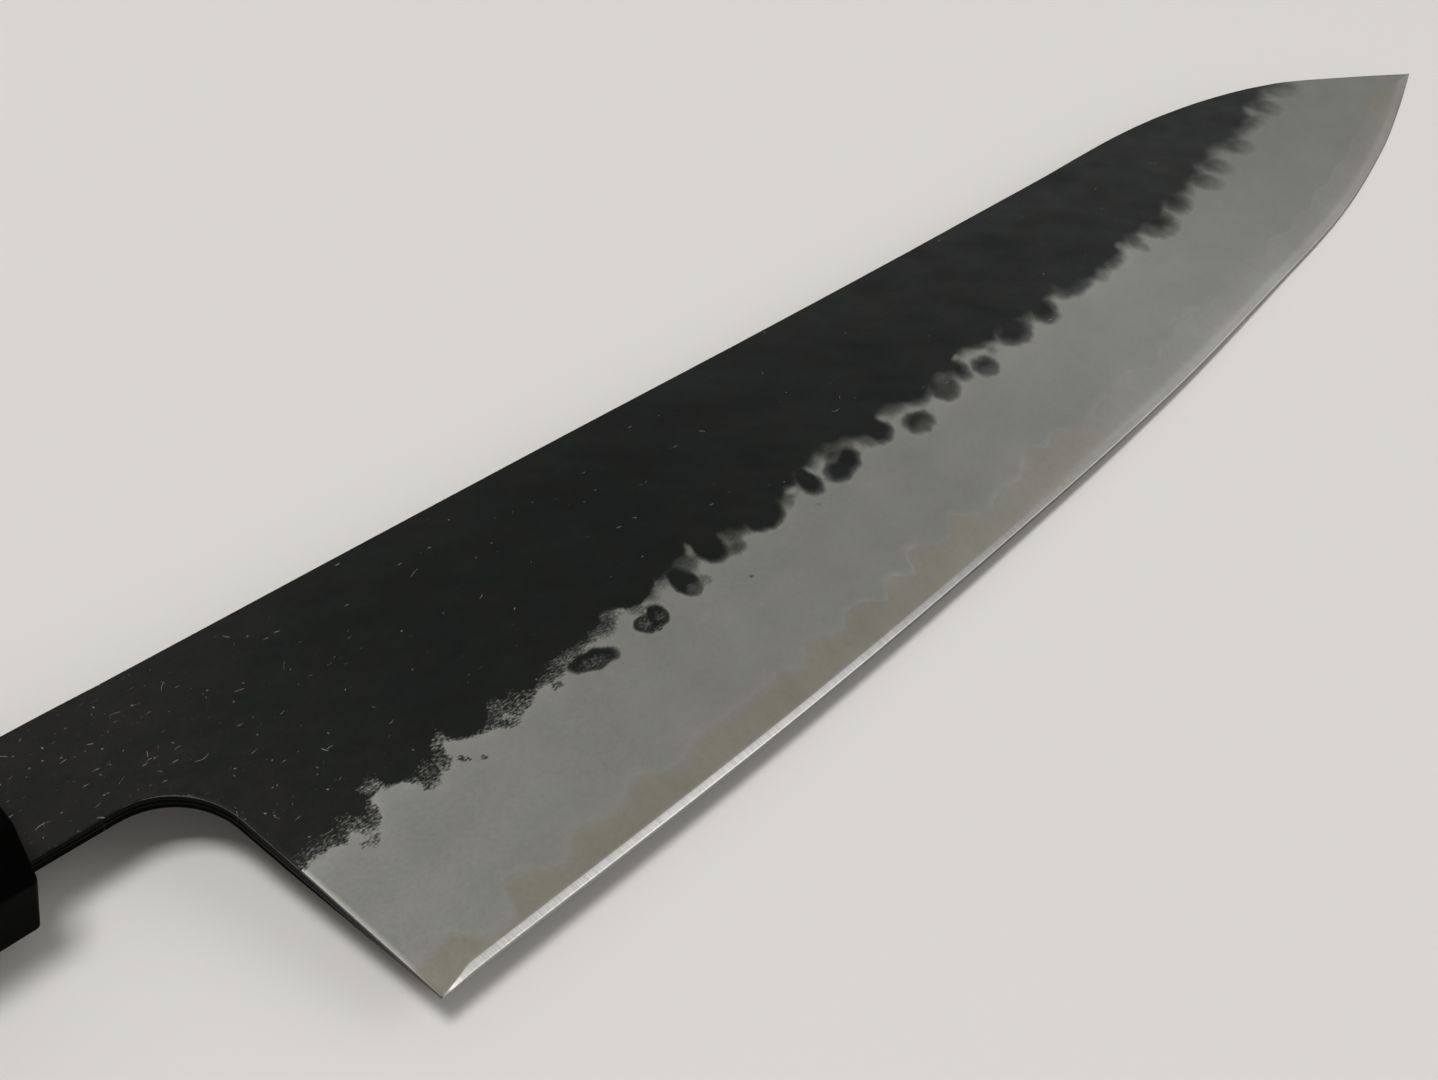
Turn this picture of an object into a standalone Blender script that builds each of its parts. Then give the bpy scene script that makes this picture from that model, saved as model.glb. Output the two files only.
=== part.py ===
"""Forged three-layer chef's knife with an eight-sided handle, lying on its left side.

+X runs from the butt of the handle to the tip, -Y is the cutting edge, and +Z is the
blade's right face. The origin is the middle of the knife's outline, at the height of
the handle's left flank. All sizes are in metres.

The knife is drawn in the blade's own coordinates: u runs from the heel to the tip, v from
the edge at the heel to the spine, and w is the height above the blade's middle plane.
place() turns these into the coordinates of the part.
"""

import math

import bmesh
import bpy
from mathutils import Vector

MM = 0.001

# Blade outline, as shares of the blade's length and of its height at the heel.
BLADE_LENGTH = 240.0 * MM
HEEL_HEIGHT = 46.9 * MM
EDGE_SHAPE = (
    (0.0, 0.0), (0.22, 0.037), (0.42, 0.103), (0.57, 0.172), (0.70, 0.260),
    (0.81, 0.345), (0.90, 0.464), (0.96, 0.575), (1.0, 0.660),
)
SPINE_SHAPE = (
    (-0.12, 1.0), (0.20, 0.998), (0.42, 0.993), (0.62, 1.0), (0.73, 1.008),
    (0.81, 0.972), (0.88, 0.898), (0.94, 0.785), (1.0, 0.660),
)
REAR_SLANT = math.radians(9.0)
CHOIL_RADIUS = 9.0 * MM
NECK_HEIGHT = 13.2 * MM
NECK_LENGTH = 23.4 * MM

# Blade thickness, and the two grinds.
NECK_THICKNESS = 2.8 * MM
HEEL_THICKNESS = 2.6 * MM
TIP_THICKNESS = 0.6 * MM
DISTAL_TAPER_POWER = 2.2
FACE_TAPER = 0.2
BEVEL_HEIGHT = 20.5 * MM
MICRO_BEVEL_HEIGHT = 1.08 * MM
MICRO_BEVEL_THICKNESS = 0.4 * MM
EDGE_EASE = 0.2 * MM

# Lamination: the line along which the core comes out of the cladding, and the weld.
CORE_LINE_HEIGHT = 5.4 * MM
CORE_LINE_WAVE = 0.7 * MM
CORE_LINE_WAVES = 11
WELD_SEAM = 0.05 * MM
WELD_SEAM_RUN = 1.0 * MM

# Tang, from the shoulder inside the ferrule to its end in the handle.
SHOULDER_DEPTH = 3.0 * MM
SHOULDER_LENGTH = 0.6 * MM
TANG_LENGTH = 95.0 * MM
TANG_HEIGHT = 8.0 * MM
TANG_END_HEIGHT = 4.6 * MM
TANG_END_THICKNESS = 2.0 * MM

# Handle. Its middle line lies this far below the spine.
HANDLE_AXIS_DROP = 5.9 * MM
HANDLE_WIDTH = 19.4 * MM
HANDLE_FRONT_HEIGHT = 22.0 * MM
HANDLE_BUTT_HEIGHT = 24.4 * MM
FACET_HEIGHT = 3.8 * MM
FACET_WIDTH = 5.1 * MM
FERRULE_LENGTH = 27.0 * MM
FERRULE_WALL = 4.0 * MM
HANDLE_BODY_LENGTH = 115.0 * MM
ARRIS_EASE = 0.5 * MM
DOWEL_DIAMETER = 14.4 * MM
DOWEL_LENGTH = 60.0 * MM
FILL_WALL = 0.7 * MM
CLEARANCE = 0.3 * MM

# Fineness of the mesh, and how far a cutter reaches past what it cuts.
BLADE_STATIONS = 44
CHOIL_STATIONS = 8
DOWEL_SIDES = 48
CUT_MARGIN = 3.0 * MM

# Places that follow from the sizes above.
FERRULE_FRONT = -NECK_LENGTH
FERRULE_REAR = FERRULE_FRONT - FERRULE_LENGTH
BODY_FRONT = FERRULE_REAR - CLEARANCE
BUTT_END = BODY_FRONT - HANDLE_BODY_LENGTH
HANDLE_AXIS = HEEL_HEIGHT - HANDLE_AXIS_DROP
SHOULDER = FERRULE_FRONT - SHOULDER_DEPTH
TANG_START = SHOULDER - SHOULDER_LENGTH
TANG_END = TANG_START - TANG_LENGTH
DOWEL_FRONT = FERRULE_FRONT - FERRULE_WALL - CLEARANCE
DOWEL_REAR = DOWEL_FRONT - DOWEL_LENGTH
FILL_FRONT = DOWEL_FRONT - CLEARANCE
FILL_REAR = TANG_END - CLEARANCE - FILL_WALL
MIDDLE_U = (BLADE_LENGTH + BUTT_END) / 2
MIDDLE_V = (HANDLE_AXIS + HANDLE_BUTT_HEIGHT / 2) / 2

# The rows of points across the blade, from the cutting edge to the spine.
(EDGE, SHOULDER_ROW, CORE_LINE, SEAM, GROUND, BORDER,
 CHOIL, CHOIL_EASE, FORGED, SPINE_EASE, SPINE) = range(11)


def place(u, v, w):
    """The part's coordinates of a point given in the blade's coordinates."""
    return Vector((u - MIDDLE_U, v - MIDDLE_V, w + HANDLE_WIDTH / 2))


def mix(start, end, share):
    return start + (end - start) * share


def limited(size, length, most):
    """A size as a share of a length, but never more than the given share."""
    return min(size / length, most)


def smooth_curve(points):
    """The function whose smooth curve passes through the given (x, y) points."""
    count = len(points)
    slopes = []
    for i in range(count):
        before = points[max(i - 1, 0)]
        after = points[min(i + 1, count - 1)]
        slopes.append((after[1] - before[1]) / (after[0] - before[0]))

    def value(x):
        i = 0
        while i < count - 2 and x > points[i + 1][0]:
            i += 1
        step = points[i + 1][0] - points[i][0]
        t = (x - points[i][0]) / step
        rise = points[i + 1][1] - points[i][1]
        lift_out = step * slopes[i] * t * (1 - t) ** 2
        lift_in = step * slopes[i + 1] * t ** 2 * (1 - t)
        return points[i][1] + rise * t ** 2 * (3 - 2 * t) + lift_out - lift_in

    return value


edge_curve = smooth_curve(EDGE_SHAPE)
spine_curve = smooth_curve(SPINE_SHAPE)


def edge_v(u):
    return HEEL_HEIGHT * edge_curve(u / BLADE_LENGTH)


def spine_v(u):
    return HEEL_HEIGHT * spine_curve(u / BLADE_LENGTH)


# ---------------------------------------------------------------- the blade's columns

def spine_thickness(share):
    """Thickness at the spine, by the share of the way from heel to tip."""
    return mix(HEEL_THICKNESS, TIP_THICKNESS, share ** DISTAL_TAPER_POWER)


def core_line_height(share):
    wave = math.sin(2 * math.pi * CORE_LINE_WAVES * share)
    slow_wave = math.sin(2 * math.pi * CORE_LINE_WAVES * share / 3)
    return CORE_LINE_HEIGHT + CORE_LINE_WAVE * (wave + slow_wave) / 2


class Section:
    """One cut across the blade, from its edge to its spine."""

    def __init__(self, share):
        u_edge = BLADE_LENGTH * share
        u_spine = mix(-HEEL_HEIGHT * math.tan(REAR_SLANT), BLADE_LENGTH, share)
        self.low = Vector((u_edge, edge_v(u_edge)))
        self.high = Vector((u_spine, spine_v(u_spine)))
        self.length = (self.high - self.low).length
        self.half = spine_thickness(share) / 2
        self.shoulder = limited(MICRO_BEVEL_HEIGHT, self.length, 0.25)
        self.shoulder_half = min(MICRO_BEVEL_THICKNESS / 2, self.half * 0.6)
        self.border = limited(BEVEL_HEIGHT, self.length, 1.0)
        self.core_line = limited(core_line_height(share), self.length, 0.5)
        self.core_half = self.outer(self.core_line)

    def point(self, row_share):
        return self.low.lerp(self.high, row_share)

    def forged(self, row_share):
        """Half thickness of the forged face, which thins a little towards the edge."""
        return self.half * (1 - FACE_TAPER * (1 - row_share))

    def outer(self, row_share):
        """Half thickness of the finished blade."""
        if row_share <= self.shoulder:
            return self.shoulder_half * row_share / self.shoulder
        if row_share >= self.border:
            return self.forged(row_share)
        way = (row_share - self.shoulder) / (self.border - self.shoulder)
        return mix(self.shoulder_half, self.forged(self.border), way)

    def row_shares(self, choil_way):
        border = min(self.border, 0.9)
        choil = mix(border, 1.0, choil_way)
        ease = limited(1.5 * EDGE_EASE, self.length, 0.02)
        seam = self.core_line + limited(WELD_SEAM_RUN, self.length, 0.05)
        return {
            EDGE: 0.0,
            SHOULDER_ROW: self.shoulder,
            CORE_LINE: self.core_line,
            SEAM: seam,
            GROUND: mix(seam, border, 0.5),
            BORDER: border,
            CHOIL: choil,
            CHOIL_EASE: choil + ease,
            FORGED: mix(choil, 1.0, 0.5),
            SPINE_EASE: 1.0 - ease,
            SPINE: 1.0,
        }


class Column:
    """Points of one section by row: plan point, outer half thickness, half of the core."""

    def __init__(self):
        self.plan = {}
        self.outer = {}
        self.core = {}

    def add(self, row, plan, outer, core):
        self.plan[row] = plan
        self.outer[row] = outer
        self.core[row] = core


def eased(outer, core):
    """Half thickness at a rounded corner, where the cladding keeps most of its own."""
    return outer - min(EDGE_EASE, 0.4 * (outer - core))


def choil_arc():
    """The arc from the rear of the heel to the underside of the neck, and its start."""
    neck_v = HEEL_HEIGHT - NECK_HEIGHT
    corner = Vector((-neck_v * math.tan(REAR_SLANT), neck_v))
    turn = math.pi / 2 - REAR_SLANT
    reach = CHOIL_RADIUS * math.tan(turn / 2)
    centre = corner + Vector((-reach, -CHOIL_RADIUS))
    points = []
    for i in range(CHOIL_STATIONS + 1):
        angle = REAR_SLANT + turn * i / CHOIL_STATIONS
        points.append(centre + CHOIL_RADIUS * Vector((math.cos(angle), math.sin(angle))))
    return points


def blade_columns():
    """All the columns from the end of the tang to the tip."""
    arc = choil_arc()
    heel = Section(0.0)
    start_share = arc[0].y / heel.high.y
    choil_way = (start_share - heel.border) / (1 - heel.border)

    blade = []
    ease_share = 1.5 * EDGE_EASE / BLADE_LENGTH
    for i in range(BLADE_STATIONS):
        share = 1 - (1 - i / BLADE_STATIONS) ** 1.25
        blade.append(finished_column(Section(share), choil_way, i == 0))
        if i == 0:
            blade.append(finished_column(Section(ease_share), choil_way, False))
    blade.append(tip_column())

    heel_column = blade[0]
    ways = neck_ways(heel_column)
    core = heel.core_half
    neck = []
    for point in arc[1:]:
        way = (arc[0].x - point.x) / (arc[0].x - arc[-1].x)
        half = mix(heel.forged(1.0), NECK_THICKNESS / 2, way)
        high = Vector((mix(heel.high.x, arc[-1].x, way), HEEL_HEIGHT))
        neck.append(neck_column(point, high, half, core, ways))
    neck_v = HEEL_HEIGHT - NECK_HEIGHT
    for u in (FERRULE_FRONT, SHOULDER):
        low = Vector((u, neck_v))
        high = Vector((u, HEEL_HEIGHT))
        neck.append(neck_column(low, high, NECK_THICKNESS / 2, core, ways))
    for u in (TANG_START, TANG_END):
        height, thickness = tang_size(u)
        low = Vector((u, HANDLE_AXIS - height / 2))
        high = Vector((u, HANDLE_AXIS + height / 2))
        layer = core * thickness / NECK_THICKNESS
        neck.append(neck_column(low, high, thickness / 2, layer, ways))
    neck.reverse()
    return neck + blade


def finished_column(section, choil_way, at_rear):
    column = Column()
    for row, share in section.row_shares(choil_way).items():
        outer = section.outer(share)
        core = outer if row <= CORE_LINE else section.core_half
        if row > CORE_LINE and (at_rear or row == SPINE):
            outer = eased(outer, core)
        column.add(row, section.point(share), outer, core)
    return column


def tip_column():
    """The tip, where all the rows meet in one point of each layer."""
    column = Column()
    core = Section(1 - 1 / BLADE_STATIONS ** 2).core_half / 2
    for row in range(SPINE + 1):
        column.add(row, Vector((BLADE_LENGTH, edge_v(BLADE_LENGTH))), core, core)
    return column


def neck_ways(heel_column):
    """How far across the neck each of its rows lies, as at the heel."""
    low = heel_column.plan[CHOIL]
    high = heel_column.plan[SPINE]
    full = (high - low).length
    ways = {}
    for row in range(CHOIL, SPINE + 1):
        ways[row] = (heel_column.plan[row] - low).length / full
    return ways


def neck_column(low, high, half, core, ways):
    column = Column()
    for row, way in ways.items():
        at_rim = row in (CHOIL, SPINE)
        outer = eased(half, core) if at_rim else half
        column.add(row, low.lerp(high, way), outer, core)
    return column


def tang_size(u):
    """Height and thickness of the tang, which tapers evenly to its end."""
    way = (TANG_START - u) / TANG_LENGTH
    height = mix(TANG_HEIGHT, TANG_END_HEIGHT, way)
    thickness = mix(NECK_THICKNESS, TANG_END_THICKNESS, way)
    return height, thickness


# ------------------------------------------------------------------- making the solids

def new_object(name, mesh, material, collection):
    item = bpy.data.objects.new(name, mesh)
    collection.objects.link(item)
    if material:
        mesh.materials.append(material)
    return item


def closed_sheet(name, columns, first_row, top, bottom, material, collection):
    """A solid between two heights over the blade's grid of rows and columns."""
    shape = bmesh.new()
    corners = {}

    def corner(column, row, height):
        plan = column.plan[row]
        position = place(plan.x, plan.y, height(column, row))
        key = tuple(round(value, 8) for value in position)
        if key not in corners:
            corners[key] = shape.verts.new(position)
        return corners[key]

    def triangle(a, b, c):
        if a is not b and b is not c and c is not a:
            shape.faces.new((a, b, c))

    rim = {}
    for i in range(len(columns) - 1):
        left, right = columns[i], columns[i + 1]
        for row in range(first_row, SPINE):
            cell = ((left, row), (right, row), (right, row + 1), (left, row + 1))
            if any(r not in column.plan for column, r in cell):
                continue
            for height, turned in ((top, False), (bottom, True)):
                a, b, c, d = (corner(column, r, height) for column, r in cell)
                if turned:
                    b, d = d, b
                triangle(a, b, c)
                triangle(a, c, d)
            for start, end in zip(cell, cell[1:] + cell[:1]):
                key = frozenset(((id(start[0]), start[1]), (id(end[0]), end[1])))
                if key in rim:
                    del rim[key]
                else:
                    rim[key] = (start, end)
    for start, end in rim.values():
        low_a, low_b = (corner(column, r, bottom) for column, r in (start, end))
        high_a, high_b = (corner(column, r, top) for column, r in (start, end))
        triangle(low_a, low_b, high_b)
        triangle(low_a, high_b, high_a)
    bmesh.ops.recalc_face_normals(shape, faces=shape.faces)
    mesh = bpy.data.meshes.new(name)
    shape.to_mesh(mesh)
    shape.free()
    return new_object(name, mesh, material, collection)


def loft(name, sections, material, collection):
    """A solid through a row of unlike sections with the same number of corners."""
    shape = bmesh.new()
    rings = [[shape.verts.new(point) for point in section] for section in sections]
    count = len(rings[0])
    for ring, following in zip(rings, rings[1:]):
        for i in range(count):
            j = (i + 1) % count
            shape.faces.new((ring[i], ring[j], following[j], following[i]))
    shape.faces.new(rings[0])
    shape.faces.new(rings[-1])
    bmesh.ops.recalc_face_normals(shape, faces=shape.faces)
    mesh = bpy.data.meshes.new(name)
    shape.to_mesh(mesh)
    shape.free()
    return new_object(name, mesh, material, collection)


def handle_height(u):
    way = (FERRULE_FRONT - u) / (FERRULE_FRONT - BUTT_END)
    return mix(HANDLE_FRONT_HEIGHT, HANDLE_BUTT_HEIGHT, way)


def octagon(u):
    """The handle's eight-sided section at one place along it."""
    v = handle_height(u) / 2
    w = HANDLE_WIDTH / 2
    quarter = ((v, w - FACET_WIDTH), (v - FACET_HEIGHT, w))
    outline = list(quarter)
    outline += [(-a, b) for a, b in reversed(quarter)]
    outline += [(-a, -b) for a, b in quarter]
    outline += [(a, -b) for a, b in reversed(quarter)]
    return [place(u, HANDLE_AXIS + a, b) for a, b in outline]


def box_section(u, middle_v, height, thickness):
    signs = ((1, 1), (-1, 1), (-1, -1), (1, -1))
    return [place(u, middle_v + a * height / 2, b * thickness / 2) for a, b in signs]


def tang_tube_section(u, spare):
    """A box section round the tang with a spare margin on every side."""
    height, thickness = tang_size(u)
    return box_section(u, HANDLE_AXIS, height + 2 * spare, thickness + 2 * spare)


def rod(name, start, end, diameter, material, collection):
    """A round rod along the middle line of the handle."""
    middle = place((start + end) / 2, HANDLE_AXIS, 0)
    bpy.ops.mesh.primitive_cylinder_add(
        vertices=DOWEL_SIDES, radius=diameter / 2, depth=abs(start - end),
        location=middle, rotation=(0, math.pi / 2, 0))
    item = bpy.context.active_object
    item.name = name
    item.data.name = name
    for other in list(item.users_collection):
        other.objects.unlink(item)
    collection.objects.link(item)
    if material:
        item.data.materials.append(material)
    return item


def as_cutter(item):
    item.hide_render = True
    item.display_type = 'WIRE'
    return item


def cut(item, cutter):
    boolean = item.modifiers.new('cut ' + cutter.name, 'BOOLEAN')
    boolean.operation = 'DIFFERENCE'
    boolean.solver = 'EXACT'
    boolean.object = cutter


def ease_edges(item, width):
    bevel = item.modifiers.new('eased edges', 'BEVEL')
    bevel.width = width
    bevel.segments = 2
    bevel.limit_method = 'ANGLE'
    bevel.angle_limit = math.radians(30)


def finish(name, colour, roughness, metallic):
    material = bpy.data.materials.new(name)
    material.use_nodes = True
    shader = material.node_tree.nodes['Principled BSDF']
    shader.inputs['Base Color'].default_value = (*colour, 1.0)
    shader.inputs['Roughness'].default_value = roughness
    shader.inputs['Metallic'].default_value = metallic
    return material


# -------------------------------------------------------------------------- the pieces

def core_height(column, row):
    """The core fills the blade up to the core line, and keeps clear of the cladding."""
    if row <= CORE_LINE:
        return column.outer[row]
    return column.core[row] - WELD_SEAM


def make_blade(knife):
    """The core and its two claddings, ground through to the core along the edge."""
    steel = finish('core_steel', (0.42, 0.41, 0.37), 0.32, 1.0)
    scale = finish('forge_scale', (0.045, 0.044, 0.042), 0.6, 0.6)
    columns = blade_columns()
    closed_sheet('blade_core', columns, EDGE, core_height,
                 lambda column, row: -core_height(column, row), steel, knife)
    closed_sheet('cladding_right', columns, CORE_LINE,
                 lambda column, row: column.outer[row],
                 lambda column, row: column.core[row], scale, knife)
    closed_sheet('cladding_left', columns, CORE_LINE,
                 lambda column, row: -column.outer[row],
                 lambda column, row: -column.core[row], scale, knife)


def make_ferrule(knife, cutters, bore):
    black = finish('black_horn', (0.012, 0.012, 0.012), 0.35, 0.0)
    ferrule = loft('ferrule', (octagon(FERRULE_REAR), octagon(FERRULE_FRONT)), black, knife)
    ease_edges(ferrule, ARRIS_EASE)
    mouth_height = NECK_HEIGHT + 2 * CLEARANCE
    mouth_width = NECK_THICKNESS + 2 * CLEARANCE
    neck_middle = HEEL_HEIGHT - NECK_HEIGHT / 2
    mouth = loft('ferrule_mouth', (
        box_section(DOWEL_FRONT - CUT_MARGIN, neck_middle, mouth_height, mouth_width),
        box_section(FERRULE_FRONT + CUT_MARGIN, neck_middle, mouth_height, mouth_width),
    ), None, cutters)
    cut(ferrule, bore)
    cut(ferrule, as_cutter(mouth))


def make_handle_body(knife, cutters, bore):
    wood = finish('handle_wood', (0.16, 0.085, 0.045), 0.5, 0.0)
    body = loft('handle_body', (octagon(BUTT_END), octagon(BODY_FRONT)), wood, knife)
    ease_edges(body, ARRIS_EASE)
    spare = 2 * CLEARANCE + FILL_WALL
    rear = FILL_REAR - CLEARANCE
    hole = loft('tang_hole', (
        tang_tube_section(rear, spare),
        tang_tube_section(DOWEL_REAR + CUT_MARGIN, spare),
    ), None, cutters)
    cut(body, bore)
    cut(body, as_cutter(hole))


def make_dowel(knife, cutters):
    wood = finish('dowel_wood', (0.45, 0.32, 0.19), 0.6, 0.0)
    dowel = rod('handle_dowel', DOWEL_FRONT, DOWEL_REAR, DOWEL_DIAMETER, wood, knife)
    spare = 2 * CLEARANCE + FILL_WALL
    slot = loft('dowel_slot', (
        tang_tube_section(DOWEL_REAR - CUT_MARGIN, spare),
        tang_tube_section(DOWEL_FRONT + CUT_MARGIN, spare),
    ), None, cutters)
    cut(dowel, as_cutter(slot))


def make_tang_fill(knife, cutters):
    wax = finish('tang_wax', (0.55, 0.42, 0.20), 0.45, 0.0)
    fill = loft('tang_fill', (
        tang_tube_section(FILL_REAR, CLEARANCE + FILL_WALL),
        tang_tube_section(FILL_FRONT, CLEARANCE + FILL_WALL),
    ), wax, knife)
    cavity = loft('tang_cavity', (
        tang_tube_section(TANG_END - CLEARANCE, CLEARANCE),
        tang_tube_section(FILL_FRONT + CUT_MARGIN, CLEARANCE),
    ), None, cutters)
    cut(fill, as_cutter(cavity))


def build():
    for item in list(bpy.data.objects):
        bpy.data.objects.remove(item, do_unlink=True)
    knife = bpy.data.collections.new('chef_knife')
    cutters = bpy.data.collections.new('cutters')
    bpy.context.scene.collection.children.link(knife)
    bpy.context.scene.collection.children.link(cutters)

    make_blade(knife)
    bore = as_cutter(rod('dowel_bore', DOWEL_FRONT + CLEARANCE, DOWEL_REAR - CLEARANCE,
                         DOWEL_DIAMETER + 2 * CLEARANCE, None, cutters))
    make_ferrule(knife, cutters, bore)
    make_handle_body(knife, cutters, bore)
    make_dowel(knife, cutters)
    make_tang_fill(knife, cutters)
    for item in knife.objects:
        item.data.shade_smooth()
        item.data.set_sharp_from_angle(angle=math.radians(25))


build()
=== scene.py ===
"""Looks of a forged three-layer chef's knife with an eight-sided handle.

The knife lies on its left flank: +X runs from the butt to the tip, -Y is the cutting edge
and +Z is the blade's right face. All sizes are in metres.
"""
import math
import random

import bmesh
import bpy
import numpy as np
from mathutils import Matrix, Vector
from mathutils.geometry import normal


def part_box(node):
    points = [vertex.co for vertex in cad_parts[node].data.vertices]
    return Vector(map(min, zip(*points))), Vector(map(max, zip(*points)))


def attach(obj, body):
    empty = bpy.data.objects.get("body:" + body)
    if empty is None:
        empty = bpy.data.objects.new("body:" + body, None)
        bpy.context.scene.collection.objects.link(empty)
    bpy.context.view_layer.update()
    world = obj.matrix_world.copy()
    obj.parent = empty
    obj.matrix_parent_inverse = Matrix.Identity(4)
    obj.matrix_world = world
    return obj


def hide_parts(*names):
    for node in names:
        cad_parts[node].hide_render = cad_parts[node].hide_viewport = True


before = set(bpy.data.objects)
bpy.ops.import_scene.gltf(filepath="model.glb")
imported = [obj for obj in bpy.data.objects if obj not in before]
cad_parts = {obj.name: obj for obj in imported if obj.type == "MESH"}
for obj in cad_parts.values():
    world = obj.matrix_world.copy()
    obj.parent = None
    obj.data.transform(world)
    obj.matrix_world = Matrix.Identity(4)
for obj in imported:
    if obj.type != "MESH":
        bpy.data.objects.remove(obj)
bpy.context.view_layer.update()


# ------------------------------------------------------------------------------ the studio
# A plain pale floor under soft light. Let go, the knife comes to lie on three points: the
# lower corner of the ferrule's mouth, the belly of the edge and the tip. The floor passes
# through those three. The camera stands above the handle and looks along the blade.

MM = 0.001
FLOOR_SIZE = 12.0
FLOOR_FADE = (0.7, 2.6)
FLOOR_COLOUR = (0.72, 0.70, 0.66, 1.0)
BACKGROUND = 0.60
SKY_LIGHT = 0.27
FERRULE_CORNER_Y = 7.7 * MM
BELLY_X = 182.9 * MM
BELLY_Y = -2.4 * MM
TIP_INSET = 2.0 * MM
TIP_RISE = 6.3 * MM
BLADE_UNDERSIDE = 0.2 * MM
SENSOR_WIDTH = 36.0
LENS = 47.03
CAMERA_PLACE = (-102.40 * MM, -72.59 * MM, 176.58 * MM)
CAMERA_TURN = (39.102, -14.030, -44.236)

core_low, core_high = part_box("blade_core")
ferrule_low, ferrule_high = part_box("ferrule")


def node(tree, kind, inputs=(), **settings):
    """Adds a node. A socket given as an input is joined, and any other value is set."""
    item = tree.nodes.new(kind)
    for name, value in settings.items():
        setattr(item, name, value)
    for key, value in dict(inputs).items():
        if isinstance(value, bpy.types.NodeSocket):
            tree.links.new(value, item.inputs[key])
        else:
            item.inputs[key].default_value = value
    return item


def maths(tree, operation, *values, clamp=False):
    item = node(tree, "ShaderNodeMath", dict(enumerate(values)), operation=operation, use_clamp=clamp)
    return item.outputs[0]


def product(tree, first, *others):
    """The first value multiplied by each of the others in turn."""
    for value in others:
        first = maths(tree, "MULTIPLY", first, value)
    return first


def remap(tree, value, start, end, low=0.0, high=1.0, smooth=True):
    """Turns the range start..end of a value into low..high."""
    kind = "SMOOTHSTEP" if smooth else "LINEAR"
    inputs = {"Value": value, "From Min": start, "From Max": end, "To Min": low, "To Max": high}
    return node(tree, "ShaderNodeMapRange", inputs, interpolation_type=kind).outputs["Result"]


def new_object(name, data):
    """An object in the scene, with its origin at the world's."""
    item = bpy.data.objects.new(name, data)
    bpy.context.scene.collection.objects.link(item)
    return item


def new_material(name):
    """A material with an empty tree and its output node."""
    material = bpy.data.materials.new(name)
    material.use_nodes = True
    material.node_tree.nodes.clear()
    output = node(material.node_tree, "ShaderNodeOutputMaterial")
    return material, material.node_tree, output


def floor_material():
    """Pale and matt. It fades into the background far out, and can't be seen from below."""
    material, tree, output = new_material("pale_floor")
    place = node(tree, "ShaderNodeTexCoord").outputs["Object"]
    distance = node(tree, "ShaderNodeVectorMath", {0: place}, operation="LENGTH").outputs["Value"]
    grey = (BACKGROUND, BACKGROUND, BACKGROUND, 1.0)
    pale = node(tree, "ShaderNodeBsdfDiffuse", {"Color": FLOOR_COLOUR})
    far = node(tree, "ShaderNodeEmission", {"Color": grey})
    fade = remap(tree, distance, *FLOOR_FADE)
    seen = node(tree, "ShaderNodeMixShader", {0: fade, 1: pale.outputs[0], 2: far.outputs[0]})
    below = node(tree, "ShaderNodeNewGeometry").outputs["Backfacing"]
    clear = node(tree, "ShaderNodeBsdfTransparent")
    both = node(tree, "ShaderNodeMixShader", {0: below, 1: seen.outputs[0], 2: clear.outputs[0]})
    tree.links.new(both.outputs[0], output.inputs["Surface"])
    return material


def make_floor():
    """A square of floor through the three points that the knife lies on."""
    middle_z = (core_low.z + core_high.z) / 2
    corner = Vector((ferrule_high.x, FERRULE_CORNER_Y, ferrule_low.z))
    belly = Vector((BELLY_X, BELLY_Y, middle_z - BLADE_UNDERSIDE))
    tip = Vector((core_high.x - TIP_INSET, BELLY_Y + TIP_RISE, middle_z - BLADE_UNDERSIDE))
    up = normal(corner, belly, tip)
    reach = FLOOR_SIZE / 2
    mesh = bpy.data.meshes.new("floor")
    corners = [(-reach, -reach, 0), (reach, -reach, 0), (reach, reach, 0), (-reach, reach, 0)]
    mesh.from_pydata(corners, [], [(0, 1, 2, 3)])
    mesh.materials.append(floor_material())
    floor = new_object("floor", mesh)
    floor.rotation_euler = up.to_track_quat("Z", "Y").to_euler()
    floor.location = corner


def make_camera():
    data = bpy.data.cameras.new("camera")
    data.sensor_width = SENSOR_WIDTH
    data.lens = LENS
    data.clip_start = 5 * MM
    camera = new_object("camera", data)
    camera.location = CAMERA_PLACE
    camera.rotation_euler = [math.radians(angle) for angle in CAMERA_TURN]
    bpy.context.scene.camera = camera


def make_lamp(name, direction, distance, size, watts):
    """A square soft box that faces the knife."""
    data = bpy.data.lights.new(name, "AREA")
    data.size = size
    data.energy = watts
    lamp = new_object(name, data)
    away = Vector(direction).normalized()
    lamp.location = away * distance
    lamp.rotation_euler = away.to_track_quat("Z", "Y").to_euler()


def make_world():
    """A pale grey studio, which gives less light than it shows to the eye and in the steel."""
    world = bpy.data.worlds.new("studio")
    world.use_nodes = True
    tree = world.node_tree
    tree.nodes.clear()
    rays = node(tree, "ShaderNodeLightPath").outputs
    shown = maths(tree, "MAXIMUM", rays["Is Camera Ray"], rays["Is Glossy Ray"])
    shown = maths(tree, "MAXIMUM", shown, rays["Is Transmission Ray"])
    level = remap(tree, shown, 0.0, 1.0, SKY_LIGHT, BACKGROUND)
    sky = node(tree, "ShaderNodeBackground", {"Color": (1.0, 1.0, 1.0, 1.0), "Strength": level})
    output = node(tree, "ShaderNodeOutputWorld", {"Surface": sky.outputs[0]})
    output.is_active_output = True
    bpy.context.scene.world = world


make_floor()
make_camera()
make_world()
make_lamp("key", (-0.25, 0.16, 1.00), 2.2, 0.6, 29.0)
make_lamp("fill", (0.75, -0.45, 0.80), 2.4, 1.4, 12.0)
bpy.context.scene.view_settings.view_transform = "Standard"


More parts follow.
